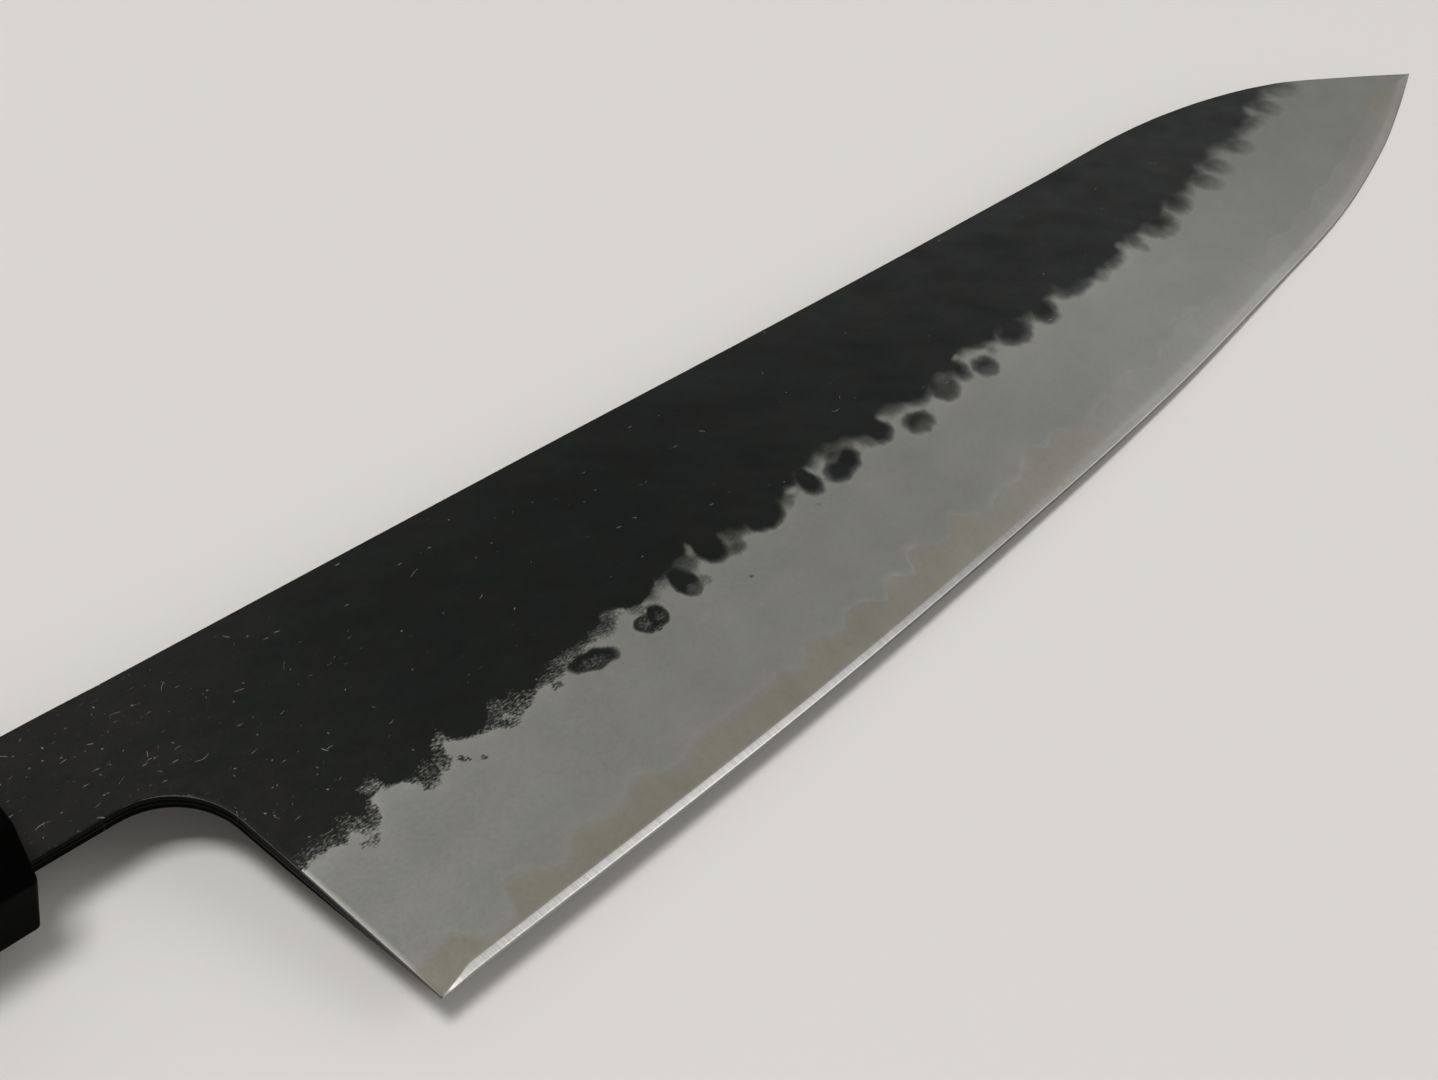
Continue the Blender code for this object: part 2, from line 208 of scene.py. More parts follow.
# ---------------------------------------------------------------------- the blade's forging
# The blade is forged from three layers, hard steel between two of soft iron, and is then
# ground as one piece. The layers share one grid of points: its columns run from the end
# of the tang to the tip, and its rows from the cutting edge to the spine.

# The outline. Both shapes are heights in shares of the heel's, by shares of the length.
BLADE_LENGTH = 240.0 * MM
HEEL_HEIGHT = 46.9 * MM
EDGE_SHAPE = (
    (0.0, 0.0), (0.22, 0.037), (0.42, 0.103), (0.57, 0.172), (0.70, 0.260),
    (0.81, 0.345), (0.90, 0.464), (0.96, 0.575), (1.0, 0.660),
)
SPINE_SHAPE = (
    (-0.12, 1.0), (0.20, 0.998), (0.42, 0.993), (0.62, 1.0), (0.73, 1.008),
    (0.81, 0.972), (0.88, 0.898), (0.94, 0.785), (1.0, 0.660),
)
REAR_SLANT = math.radians(9.0)
CHOIL_RADIUS = 9.0 * MM
NECK_HEIGHT = 13.2 * MM
SHOULDER_INSIDE = 3.0 * MM
TANG_STEP = 0.6 * MM
TANG_AXIS_DROP = 5.9 * MM
TANG_HEIGHTS = (4.6 * MM, 8.0 * MM)

# The section: how the thickness tapers, and how the wide bevel and the edge's bevel cut it.
HEEL_THICKNESS = 2.6 * MM
TIP_THICKNESS = 0.6 * MM
NECK_THICKNESS = 2.8 * MM
TANG_END_THICKNESS = 2.0 * MM
TAPER_POWER = 2.2
FACE_TAPER = 0.2
BEVEL_HEIGHT = 20.5 * MM
EDGE_BEVEL_HEIGHT = 1.08 * MM
EDGE_BEVEL_THICKNESS = 0.4 * MM
EDGE_BEVEL_START = 4.5 * MM
EDGE_BEVEL_SHARE = 0.25
CORE_LINE_HEIGHT = 5.0 * MM
CORE_LINE_SHARE = 0.5
EDGE_BEVEL_LEAST = 0.03
SHOULDER_SHARE = 0.6
CONVEX_RUN = 1.1 * MM
CONVEX_FROM = (85.0 * MM, 150.0 * MM)
RELIEF_FADE = 4.0 * MM
RIM_RADIUS = 0.2 * MM
WELD_SEAM = 0.01 * MM
SMALLEST = 0.001 * MM

# Wear along the rim, and painted shade on its corner: how far they reach in, and where they start and
# end.
WORN_WIDTH = 0.09 * MM
CORNER_WIDTH = 0.2 * MM
FILED_BELOW = (1.0 * MM, 9.0 * MM)
HANDLED_NECK = (-14.0 * MM, -8.0 * MM)
NECK_WEAR = 0.45
SPINE_BAND = (36.0 * MM, 42.0 * MM)

# The grid: its step on the faces, and its closer steps along the rim, the tip and the edge.
GRID_STEP = 0.37 * MM
RIM_STEPS = (0.0, 0.03 * MM, 0.1 * MM, 0.2 * MM)
RIM_ROOM = 4.0 * MM
TIP_STEPS = (0.25 * MM, 0.1 * MM, 0.0)
EDGE_BEVEL_ROWS = (0.0, 0.35, 0.7, 0.96)
CORE_ROWS = 14
ARC_COLUMNS = 32
NECK_COLUMNS = 30
SPINE_SKIP = 6
SAME_POINT = 0.0002 * MM

# The two materials on each layer: the finish of its face, and the dark one of its rim.
FACE_SLOT = 0
RIM_SLOT = 1


def mix(start, end, share):
    """The value at a share of the way from one to another."""
    return start + (end - start) * share


def ease(value, start, end):
    """Rises smoothly from 0 to 1 between two values."""
    t = np.clip((value - start) / (end - start), 0, 1)
    return t * t * (3 - 2 * t)


def smooth_curve(points):
    """The function whose smooth curve passes through the given points."""
    x, y = np.array(points, float).T
    slope = np.diff(y) / np.diff(x)
    slope = np.concatenate((slope[:1], (y[2:] - y[:-2]) / (x[2:] - x[:-2]), slope[-1:]))

    def value(at):
        i = np.clip(np.searchsorted(x, at) - 1, 0, len(x) - 2)
        step = x[i + 1] - x[i]
        t = (at - x[i]) / step
        lift = step * (slope[i] * t * (1 - t) ** 2 - slope[i + 1] * t ** 2 * (1 - t))
        return y[i] + (y[i + 1] - y[i]) * t ** 2 * (3 - 2 * t) + lift

    return value


edge_curve = smooth_curve(EDGE_SHAPE)
spine_curve = smooth_curve(SPINE_SHAPE)


def choil_outline():
    """The underside of the neck from inside the ferrule, and the arc down to the heel."""
    neck_v = HEEL_HEIGHT - NECK_HEIGHT
    turn = math.pi / 2 - REAR_SLANT
    centre_u = -neck_v * math.tan(REAR_SLANT) - CHOIL_RADIUS * math.tan(turn / 2)
    angles = np.linspace(math.pi / 2, REAR_SLANT, ARC_COLUMNS)
    arc_u = centre_u + CHOIL_RADIUS * np.cos(angles)
    arc_v = neck_v - CHOIL_RADIUS + CHOIL_RADIUS * np.sin(angles)
    shoulder = ferrule_high.x - core_high.x + BLADE_LENGTH - SHOULDER_INSIDE
    neck_u = np.linspace(shoulder, arc_u[0], NECK_COLUMNS)[:-1]
    neck = np.stack((neck_u, np.full(len(neck_u), neck_v)), -1)
    return neck, np.stack((arc_u, arc_v), -1)


neck_line, choil_arc = choil_outline()


def upper_rows(low, high):
    """Rows between two heights, close together along each rim."""
    tight = np.minimum(1, (high - low) / RIM_ROOM)
    count = round((HEEL_HEIGHT - choil_arc[-1][1]) / GRID_STEP)
    first, last = low + RIM_STEPS[-1] * tight, high - RIM_STEPS[-1] * tight
    rows = [low + step * tight for step in RIM_STEPS[:-1]]
    rows += [mix(first, last, i / count) for i in range(count + 1)]
    rows += [high - step * tight for step in reversed(RIM_STEPS[:-1])]
    return rows


def rounded(half, gap):
    """Takes a rounded corner off a half thickness, by its distance from the rim."""
    radius = np.minimum(RIM_RADIUS, 0.5 * half)
    inside = np.clip(radius - gap, 0, radius)
    return half - radius + np.sqrt(radius * radius - inside * inside)


class Forging:
    """One side of the blade as a grid: where each point lies, and its half thickness."""

    def __init__(self, core_line, skin):
        rear = [step / BLADE_LENGTH for step in RIM_STEPS]
        even = np.arange(2 * GRID_STEP, BLADE_LENGTH - GRID_STEP / 2, GRID_STEP)
        tip = [1 - step / BLADE_LENGTH for step in TIP_STEPS]
        share = np.concatenate((rear, even / BLADE_LENGTH, tip))
        self.along = BLADE_LENGTH * share
        low = np.stack((self.along, HEEL_HEIGHT * edge_curve(share)))
        high_u = mix(-HEEL_HEIGHT * math.tan(REAR_SLANT), BLADE_LENGTH, share)
        high = np.stack((high_u, HEEL_HEIGHT * spine_curve(high_u / BLADE_LENGTH)))
        length = np.hypot(*(high - low))
        line_u = mix(low[0], high[0], CORE_LINE_HEIGHT / HEEL_HEIGHT)
        self.lay_rows(core_line(line_u), length)
        across = self.above / np.maximum(length, SMALLEST)
        self.u, self.v = (mix(low[i], high[i], across) for i in (0, 1))
        self.half = self.ground_half(share, length, across)
        self.core = self.half[self.line_row]
        self.add_neck()
        self.half = self.half - skin.relief(self.u, self.v) * ease(self.above, 0, RELIEF_FADE)
        self.gap = self.rim_gap()
        self.half = np.maximum(rounded(self.half, self.gap), 0)
        self.half[:, -1] = 0
        self.core = np.append(self.core[:-1], 0)

    def lay_rows(self, line, length):
        """Heights of the rows above the edge, for every column."""
        start = np.clip(self.along / EDGE_BEVEL_START, EDGE_BEVEL_LEAST, 1)
        self.bevel = np.minimum(EDGE_BEVEL_HEIGHT * start, EDGE_BEVEL_SHARE * length)
        line = np.minimum(line, CORE_LINE_SHARE * length)
        choil = length * choil_arc[-1][1] / HEEL_HEIGHT
        rows = [self.bevel * way for way in EDGE_BEVEL_ROWS]
        first = 2 * self.bevel - rows[-1]
        rows += [mix(first, line, i / CORE_ROWS) for i in range(CORE_ROWS)]
        self.line_row = len(rows)
        count = round(choil[0] / GRID_STEP)
        rows += [mix(line, choil, i / count) for i in range(count)]
        self.choil_row = len(rows)
        rows += upper_rows(choil, length)
        self.above = np.array(rows)

    def ground_half(self, share, length, across):
        """Half thickness: forged above the wide bevel, ground below it down to the edge."""
        half = mix(HEEL_THICKNESS, TIP_THICKNESS, share ** TAPER_POWER) / 2
        forged = half * (1 - FACE_TAPER * (1 - across))
        border = np.minimum(BEVEL_HEIGHT, length)
        border_half = half * (1 - FACE_TAPER * (1 - border / np.maximum(length, SMALLEST)))
        shoulder = np.minimum(EDGE_BEVEL_HEIGHT, EDGE_BEVEL_SHARE * length)
        shoulder_half = np.minimum(EDGE_BEVEL_THICKNESS / 2, SHOULDER_SHARE * half)
        slope = (border_half - shoulder_half) / np.maximum(border - shoulder, SMALLEST)
        start = shoulder_half - slope * shoulder
        ground = start + slope * self.above
        edge = self.above * (start / np.maximum(self.bevel, SMALLEST) + slope)
        convex = start * (1 - np.exp(-self.above / CONVEX_RUN)) + slope * self.above
        blend = ease(self.along, *CONVEX_FROM)
        return np.minimum(mix(np.minimum(edge, ground), convex, blend), forged)

    def add_neck(self):
        """Puts the columns of the tang, the neck and the choil in front of the blade's."""
        low = np.vstack((neck_line, choil_arc[:-1])).T
        way = np.clip((low[0] - choil_arc[0][0]) / (choil_arc[-1][0] - choil_arc[0][0]), 0, 1)
        high_u = np.where(way > 0, mix(choil_arc[0][0], self.u[-1, 0], way), low[0])
        tang_u = np.array((core_low.x - core_high.x + BLADE_LENGTH, low[0][0] - TANG_STEP))
        tang_v = HEEL_HEIGHT - TANG_AXIS_DROP
        tang_reach = np.array(TANG_HEIGHTS) / 2
        low_u = np.concatenate((tang_u, low[0]))
        low_v = np.concatenate((tang_v - tang_reach, low[1]))
        high_u = np.concatenate((tang_u, high_u))
        high_v = np.concatenate((tang_v + tang_reach, np.full(len(low[0]), HEEL_HEIGHT)))
        length = np.hypot(high_u - low_u, high_v - low_v)
        across = np.array(upper_rows(np.zeros(len(length)), length)) / length
        half = np.full(len(length), NECK_THICKNESS / 2)
        half[0] = TANG_END_THICKNESS / 2
        blend = ease(np.concatenate(((0, 0), way)), 0, 1)
        neck_half = mix(half, self.half[self.choil_row:, :1], blend)
        unused = ((self.choil_row, 0), (0, 0))
        self.neck_columns = len(length)
        self.used = np.ones((len(self.u), len(length) + len(self.along)), bool)
        self.used[:self.choil_row, :len(length)] = False
        self.u = np.hstack((np.pad(mix(low_u, high_u, across), unused), self.u))
        self.v = np.hstack((np.pad(mix(low_v, high_v, across), unused), self.v))
        self.half = np.hstack((np.pad(neck_half, unused), self.half))
        self.above = np.hstack((self.v[:, :len(length)], self.above))
        self.bevel = np.concatenate((np.full(len(low_u), EDGE_BEVEL_HEIGHT), self.bevel))
        self.along = np.concatenate((low_u, self.along))
        self.core = np.concatenate((self.core[0] * half / half[-1], self.core))

    def rim_values(self):
        """Where the rim is bare filed steel, where its corner is worn bright, and where it is rougher
        with painted shade.
        """
        kept = 1 - ease(self.v, *SPINE_BAND)
        bright = np.exp(-self.gap / WORN_WIDTH)
        handled = mix(NECK_WEAR, 1.0, ease(self.u, *HANDLED_NECK))
        shaded_worn_corner = np.exp(-(self.gap / CORNER_WIDTH) ** 2)
        filed = 1 - ease(self.v, *FILED_BELOW)
        return {"filed": filed, "worn": bright * handled * kept, "corner": shaded_worn_corner * kept}

    def rim_gap(self):
        """Distance of each point from the outline, all the way round but for the edge."""
        nearest = np.full(self.u.shape, 1.0)
        lower = np.vstack((neck_line, choil_arc, ((0.0, 0.0),)))
        spine = np.stack((self.u[-1], self.v[-1]), -1)[2:-1:SPINE_SKIP]
        for outline in (lower, spine):
            for start, end in zip(outline[:-1], outline[1:]):
                run = end - start
                t = ((self.u - start[0]) * run[0] + (self.v - start[1]) * run[1]) / (run @ run)
                t = np.clip(t, 0, 1)
                gap = np.hypot(self.u - start[0] - t * run[0], self.v - start[1] - t * run[1])
                nearest = np.minimum(nearest, gap)
        nearest[-1] = 0
        return nearest


class Shell:
    """Gathers the points, faces and surface values of one closed layer."""

    def __init__(self):
        self.points, self.faces, self.slots = [], [], []
        self.values = {}
        self.count = 0

    def sheet(self, forging, rows, side, depth, values):
        """Adds rows of the grid at a distance from the middle plane: the point numbers."""
        used = forging.used[rows]
        x = core_high.x - BLADE_LENGTH + forging.u[rows]
        y = core_low.y + forging.v[rows]
        z = (core_low.z + core_high.z) / 2 + side * np.broadcast_to(depth, used.shape)
        self.points.append(np.stack((x, y, z), -1)[used])
        for name, value in values.items():
            self.values.setdefault(name, []).append((self.count, value[rows][used]))
        numbers = np.full(used.shape, -1)
        numbers[used] = np.arange(self.count, self.count + used.sum())
        self.count += used.sum()
        return numbers

    def skin(self, numbers, slot):
        """Faces over every cell of a grid of points."""
        corners = (numbers[:-1, :-1], numbers[:-1, 1:], numbers[1:, 1:], numbers[1:, :-1])
        cells = np.stack(corners, -1).reshape(-1, 4)
        cells = cells[(cells >= 0).all(1)].tolist()
        self.faces += cells
        self.slots += [slot] * len(cells)

    def wall(self, first, second):
        """Faces between two rows of points."""
        self.skin(np.stack((first, second)), RIM_SLOT)

    def cap(self, *rings):
        """One face round an open end."""
        self.faces.append([int(number) for ring in rings for number in ring])
        self.slots.append(RIM_SLOT)

    def make(self, name, materials):
        """The closed piece, smooth but for the creases between its materials."""
        mesh = bpy.data.meshes.new(name)
        mesh.from_pydata(np.vstack(self.points).tolist(), [], self.faces)
        for material in materials:
            mesh.materials.append(material)
        mesh.polygons.foreach_set("material_index", self.slots)
        for key, parts in self.values.items():
            whole = np.zeros(self.count)
            for start, part in parts:
                whole[start:start + len(part)] = part
            mesh.attributes.new(key, "FLOAT", "POINT").data.foreach_set("value", whole)
        shape = bmesh.new()
        shape.from_mesh(mesh)
        bmesh.ops.remove_doubles(shape, verts=shape.verts, dist=SAME_POINT)
        bmesh.ops.recalc_face_normals(shape, faces=shape.faces)
        for edge in shape.edges:
            faces = edge.link_faces
            edge.smooth = len(faces) == 2 and faces[0].material_index == faces[1].material_index
        for face in shape.faces:
            face.smooth = True
        shape.to_mesh(mesh)
        shape.free()
        return new_object(name, mesh)


# -------------------------------------------------------------------------- the forge skin
# The fire leaves a black skin on the soft iron, and the wide bevel is ground through it.
# Both borders wander, since the layers were forged by hand. Every table goes by the place
# along the blade in millimetres from the heel, and plain lengths here are millimetres too.

# Where the core comes out of the soft layer: heights above the edge.
CORE_LINE_RIGHT = (
    (-8, 4.3), (0, 4.2), (4.5, 4.9), (5.5, 3.8), (6.5, 2.6), (8.5, 2.0), (11, 2.7), (12, 5.1),
    (13, 5.6), (15, 5.1), (17, 3.8), (18.8, 3.3), (20.5, 4.2), (21.7, 5.7), (23, 5.5),
    (25.5, 4.7), (28.5, 4.7), (30, 5.5), (31.5, 6.3), (33, 5.5), (35, 4.3), (38, 4.5),
    (41, 5.4), (46, 5.1), (50, 5.2), (53, 5.1), (54.5, 5.6), (56.5, 4.4), (58.5, 4.9),
    (60.3, 6.5), (62.5, 5.7), (64, 4.9), (65.5, 4.7), (67, 5.9), (69, 6.0), (71, 5.3),
    (73, 4.1), (75, 5.8), (76.5, 5.7), (79, 4.3), (80.5, 6.8), (82.5, 6.7), (85, 5.1),
    (87.5, 5.1), (89, 6.5), (90.5, 6.8), (92, 5.6), (94.5, 4.3), (97, 5.1), (99, 5.6),
    (103, 5.0), (105, 6.0), (107.5, 7.5), (109, 7.0), (110.5, 5.9), (113.5, 6.8), (117, 4.9),
    (120.5, 5.1), (124, 5.8), (132.5, 5.9), (134, 5.0), (139, 4.7), (141, 5.9), (143, 5.2),
    (145, 6.2), (147.5, 6.8), (149, 6.2), (151, 6.7), (154, 5.2), (157, 5.5), (160, 4.6),
    (162, 6.0), (165, 6.2), (167, 5.0), (170, 5.6), (173, 4.6), (176, 5.8), (179, 5.4),
    (182, 4.7), (186, 5.6), (190, 4.8), (194, 5.7), (198, 5.0), (203, 5.5), (207, 4.7),
    (212, 5.4), (218, 4.8), (226, 5.2), (240, 4.4),
)

# Where the wide bevel runs out into the black skin: heights above the corner of the heel,
# along which the skin thins out softly.
GRIND_LINE_RIGHT = (
    (-10, 18.5), (0, 18.5), (4, 18.7), (6, 18.3), (7.2, 19.2), (8.6, 21.2), (10.5, 20.6),
    (12.5, 19.6), (14.5, 19.2), (16, 20.2), (17.8, 21.8), (19, 21.2), (21, 20.3), (23, 19.9),
    (24.5, 20.4), (26, 20.3), (28, 20.9), (31, 20.8), (34, 21.4), (38, 22.2), (41, 22.4),
    (44, 24.0), (46, 23.2), (48.5, 23.2), (50.5, 24.1), (52, 24.4), (55, 23.8), (57.3, 24.4),
    (62, 24.4), (64.5, 24.2), (68, 24.6), (71.5, 24.0), (74.3, 25.2), (76.5, 25.6),
    (79, 26.6), (82, 27.0), (85, 27.2), (88, 26.0), (91, 26.0), (93.5, 27.3), (95.5, 27.4),
    (98, 26.9), (101, 26.2), (104, 27.0), (107, 26.6), (109, 27.2), (112, 29.2), (116, 28.4),
    (118.5, 28.2), (121, 29.4), (124, 29.0), (126.3, 28.4), (129, 28.8), (132.8, 29.4),
    (135, 30.2), (139, 28.8), (142.5, 28.4), (146, 29.0), (150, 29.4), (152, 30.4),
    (155, 30.8), (158, 31.0), (161, 30.8), (163.5, 31.2), (165.2, 32.5), (168, 32.6),
    (172, 32.8), (175, 33.8), (177.5, 33.9), (179.3, 35.2), (182, 35.3), (185, 36.7),
    (188, 36.3), (192, 36.7), (198, 38.3), (200.2, 40.1), (203, 40.0), (207.3, 41.4),
    (210, 41.6), (214, 44.6), (225, 48.0),
)
GRIND_TREND_LEFT = ((-10, 20.0), (40, 22.4), (90, 25.8), (150, 30.2), (200, 39.0), (240, 50))

# Hammer marks too deep to be ground out: middle, half sizes and a tilt in degrees. Some
# lie in the border as scallops, and some below it as dark islands.
HAMMER_MARKS_RIGHT = (
    (12.0, 23.4, 3.4, 3.2, 0), (21.0, 23.4, 3.4, 3.0, 0), (29.4, 23.8, 2.6, 2.6, 0),
    (47.2, 26.2, 4.4, 3.2, 0), (53.6, 22.8, 1.8, 2.5, 0), (59.6, 25.2, 2.3, 3.1, 0),
    (68.6, 25.0, 3.5, 2.8, 0), (77.4, 25.3, 1.8, 2.5, 0), (91.4, 26.4, 2.4, 2.5, 0),
    (101, 28.0, 3.0, 2.1, 0), (105.2, 26.7, 2.4, 2.5, 0), (109.6, 27.6, 1.5, 2.1, 0),
    (115.6, 30.4, 3.6, 1.7, 0), (122.4, 28.6, 3.5, 2.8, 0), (129.6, 29.0, 2.6, 2.8, 0),
    (138.0, 30.4, 4.4, 2.6, 0), (147.6, 31.2, 2.9, 2.7, 0),
    (154.6, 32.2, 1.7, 2.6, 0), (161.6, 31.2, 3.4, 2.6, 0), (168.4, 33.4, 2.9, 2.8, 0),
    (37.4, 20.4, 3.3, 1.3, -12), (47.6, 20.8, 1.45, 1.5, 0), (45.4, 20.7, 1.25, 1.1, 0),
    (46.4, 19.9, 1.4, 0.8, 0), (84.4, 24.8, 2.3, 1.7, 25), (82.2, 24.1, 2.3, 1.6, 5),
    (97.6, 24.1, 2.3, 1.6, 0), (113.6, 25.8, 1.9, 1.5, -10),
    (176.4, 34.3, 3.0, 1.5, -44), (181.2, 35.6, 2.8, 1.5, -42), (189.6, 36.3, 2.5, 1.5, -30),
    (195.5, 38.2, 3.6, 1.0, 0), (203.0, 40.2, 2.6, 1.5, -40), (210.2, 41.3, 2.8, 1.3, -20),
)

# Spots where the skin is rubbed thin: middle, half sizes, tilt, how dark and how grainy.
THIN_SPOTS_RIGHT = (
    (5.6, 18.5, 1.9, 1.2, 15, 0.60, 1.0), (13.7, 18.8, 1.9, 1.1, 10, 0.60, 1.0),
    (4.6, 16.8, 1.8, 0.8, 0, 0.26, 1.0), (16.0, 19.6, 1.5, 0.9, 30, 0.55, 1.0),
    (18.1, 18.8, 1.3, 0.6, -35, 0.46, 1.0), (19.9, 17.8, 0.6, 0.5, 0, 0.50, 1.0),
    (24.6, 19.5, 1.7, 0.9, -15, 0.60, 1.0), (27.2, 20.3, 2.1, 0.8, 0, 0.55, 1.0),
    (32.0, 20.1, 1.2, 0.6, 0, 0.52, 1.0), (8.0, 22.0, 1.9, 0.9, 0, 0.55, 1.0),
    (17.2, 22.3, 1.7, 0.8, 25, 0.58, 1.0), (35.4, 22.4, 3.6, 0.9, 0, 0.56, 0.8),
    (24.8, 22.2, 1.3, 1.2, -25, 0.66, 1.0), (27.5, 21.6, 1.6, 0.8, 0, 0.74, 1.0),
    (37.3, 20.3, 3.1, 1.1, -12, 0.66, 0.8),
    (41.2, 22.9, 2.9, 1.0, 15, 0.60, 0.7), (44.2, 23.6, 1.6, 0.5, -20, 0.24, 0.8),
    (45.6, 20.8, 1.4, 1.1, 0, 0.62, 0.8), (47.8, 20.7, 1.2, 1.2, 0, 0.70, 0.7),
    (46.6, 22.2, 1.0, 0.6, 0, 0.40, 0.9), (46.4, 19.5, 1.5, 0.6, 0, 0.68, 0.9),
    (51.0, 23.6, 1.4, 1.1, 0, 0.35, 0.5), (55.4, 24.5, 2.6, 1.9, 0, 0.62, 0.3),
    (56.0, 21.2, 1.5, 1.3, 0, 0.34, 0.5), (57.2, 25.7, 0.8, 1.6, -20, 0.36, 0.3),
    (54.0, 21.4, 1.8, 1.2, 0, 0.62, 0.3),
    (62.4, 22.5, 2.2, 1.5, 0, 0.58, 0.4), (63.2, 24.2, 1.8, 1.5, 0, 0.62, 0.4),
    (61.0, 18.6, 0.6, 0.5, -30, 0.40, 0.6), (73.2, 24.2, 1.8, 1.1, 20, 0.46, 0.3),
    (74.6, 25.1, 1.3, 0.6, 0, 0.14, 0.2), (75.9, 21.6, 1.1, 0.6, -20, 0.20, 0.5),
    (79.0, 25.6, 0.6, 1.7, 25, 0.12, 0.2), (84.0, 27.0, 3.6, 1.2, 5, 0.62, 0.2),
    (83.0, 26.1, 2.0, 0.8, 10, 0.66, 0.2), (87.2, 25.2, 0.8, 1.8, 0, 0.14, 0.1),
    (89.0, 25.2, 1.4, 1.6, 0, 0.50, 0.1), (93.6, 26.9, 0.7, 1.2, 25, 0.16, 0.2),
    (96.4, 27.3, 2.2, 1.0, -15, 0.56, 0.2), (98.0, 26.0, 2.2, 0.6, -20, 0.16, 0.1),
    (97.8, 23.4, 2.6, 1.8, 0, 0.58, 0.1), (105.4, 26.6, 3.0, 2.6, 0, 0.70, 0.1),
    (106.4, 28.0, 2.0, 1.6, 0, 0.62, 0.1), (111.0, 29.1, 1.1, 0.6, 0, 0.30, 0.3),
    (114.4, 28.1, 2.6, 0.6, -18, 0.12, 0.1), (113.5, 25.2, 2.2, 1.6, -10, 0.58, 0.1),
    (116.8, 27.0, 1.4, 1.2, 0, 0.34, 0.1), (120.8, 29.4, 1.7, 1.3, 0, 0.80, 0.1),
    (126.4, 28.6, 1.0, 1.4, 0, 0.62, 0.1), (134.2, 30.4, 1.5, 1.1, 0, 0.78, 0.1),
    (138.0, 28.3, 4.0, 0.8, 0, 0.66, 0.1), (143.9, 28.0, 1.5, 1.5, 0, 0.38, 0.1),
    (145.4, 32.6, 2.3, 0.7, 22, 0.86, 0.1), (151.6, 31.0, 1.3, 1.2, 0, 0.50, 0.1),
    (155.2, 28.2, 1.3, 1.4, 0, 0.32, 0.1), (159.4, 30.6, 2.2, 1.6, 0, 0.60, 0.1),
    (161.8, 29.2, 2.9, 1.0, 0, 0.44, 0.1),
    (178.0, 32.4, 2.0, 1.6, -40, 0.40, 0.1), (183.2, 34.0, 2.0, 1.5, -40, 0.40, 0.1),
    (185.6, 36.2, 1.7, 0.8, -35, 0.30, 0.1), (191.0, 35.0, 2.2, 1.5, -20, 0.38, 0.1),
    (200.3, 39.8, 1.0, 1.6, 0, 0.30, 0.1), (204.8, 38.6, 2.0, 1.6, -40, 0.35, 0.1),
    (211.0, 40.2, 2.8, 1.6, -20, 0.30, 0.1),
)

# Where a spot's rim starts and ends, on smooth and on grainy skin, and how it leans.
SPOT_INSIDE = (0.1, 0.5)
SPOT_OUTSIDE = (1.2, 1.0)
SPOT_LIMIT = 1.6
SPOT_SLOPE = 0.4

# How softly a mark and the general border fade out, and how grainy the border is.
MARK_BLUR = (
    (0, 0.14), (50, 0.20), (65, 0.42), (80, 0.50), (120, 0.85), (150, 1.3), (185, 2.0), (240, 2.2),
)
MARK_EDGES = (1.8, 0.8)
MARK_GRAIN = 0.25
LINE_BLUR = ((0, 1.1), (80, 1.3), (120, 1.1), (160, 1.5), (185, 2.0), (240, 2.2))
GRAIN = ((0, 1.0), (34, 0.9), (43, 0.6), (50, 0.4), (64, 0.3), (90, 0.12), (240, 0.08))

# Near the heel the border is dotted: its cover by the height above the line, not by place.
DOTTED_BAND = (
    (-3.0, -5.0), (-0.6, -1.8), (-0.2, -0.5), (0.0, 0.18), (1.2, 0.50), (1.9, 1.1), (5.0, 5.0),
)
DOTTED_UNTIL = (30, 44)

# The pale line of the weld, how far hands have rubbed the skin, and how much greyer it is coloured.
WELD = ((0, 0.03), (60, 0.05), (80, 0.11), (150, 0.10), (175, 0.0), (240, 0.0))
RUBBED = (
    (-30, 0.36), (-10, 0.32), (2, 0.16), (12, 0.08), (30, 0.05), (60, 0.02), (100, 0.008),
    (240, 0.003),
)
GREYING = (
    (-30, 0.34), (-5, 0.22), (20, 0.0), (50, 0.04), (100, 0.35), (140, 0.65), (180, 0.9),
    (206, 1.0), (225, 0.3), (240, 0.2),
)
GREYING_ON_SPINE = 0.15
SPINE_GREYING_FROM = (38.0 * MM, 46.0 * MM)

# Dents all over the skin: spans of their places, half sizes and tilts, and their number.
DENT_SPANS = ((40, 236), (22, 48), (2.5, 6), (1, 2.4), (-50, -15))
DENT_COUNT = 150
DENT_DEPTH = 0.04 * MM
DENT_RUN = 2.0
MARK_DEPTH = 0.035 * MM
MARK_RUN = 1.4
MARK_TOP = 4.0 * MM
GRIND_WAVE = 0.008 * MM
GRIND_WAVE_LENGTHS = (12, 45)

# How the borders tremble: height and wave lengths, coarse and fine. The coarse ones calm.
RIPPLE_WAVES = 12
RIPPLES = ((0.30 * MM, 1.8, 5.0), (0.07 * MM, 1.2, 3.0))
CALMEST = 0.5
HEEL_TO_MIDDLE = (60.0 * MM, 110.0 * MM)

# The ground iron is coloured lighter close under the skin. Towards the middle of the blade it is
# painted lighter still as a reflection, and at the heel it is painted darker as shade.
GLOW_AND_PAINTED_SHEEN = 0.18
HALO_WIDTHS = (2.2 * MM, 5.0 * MM)
HALO_ENDS = (135.0 * MM, 185.0 * MM)
SHEEN_MIDDLE = 140.0
SHEEN_REACH = 35.0
SHEEN_SPREAD = 2.0
SHEEN_DEPTH = 12.0
SHEEN_GAIN = 0.25
SHEEN_GAIN_FROM = (125.0, 155.0)
PAINTED_HEEL_SHADE = 0.25
PAINTED_HEEL_SHADE_UNTIL = (30.0, 60.0)


def curve_in_mm(points):
    """A smooth curve through points given in millimetres."""
    return smooth_curve(np.array(points) * MM)


def at_place(table, place):
    """Reads a table of places and values, with straight lines between its rows."""
    return np.interp(place, *np.array(table).T)


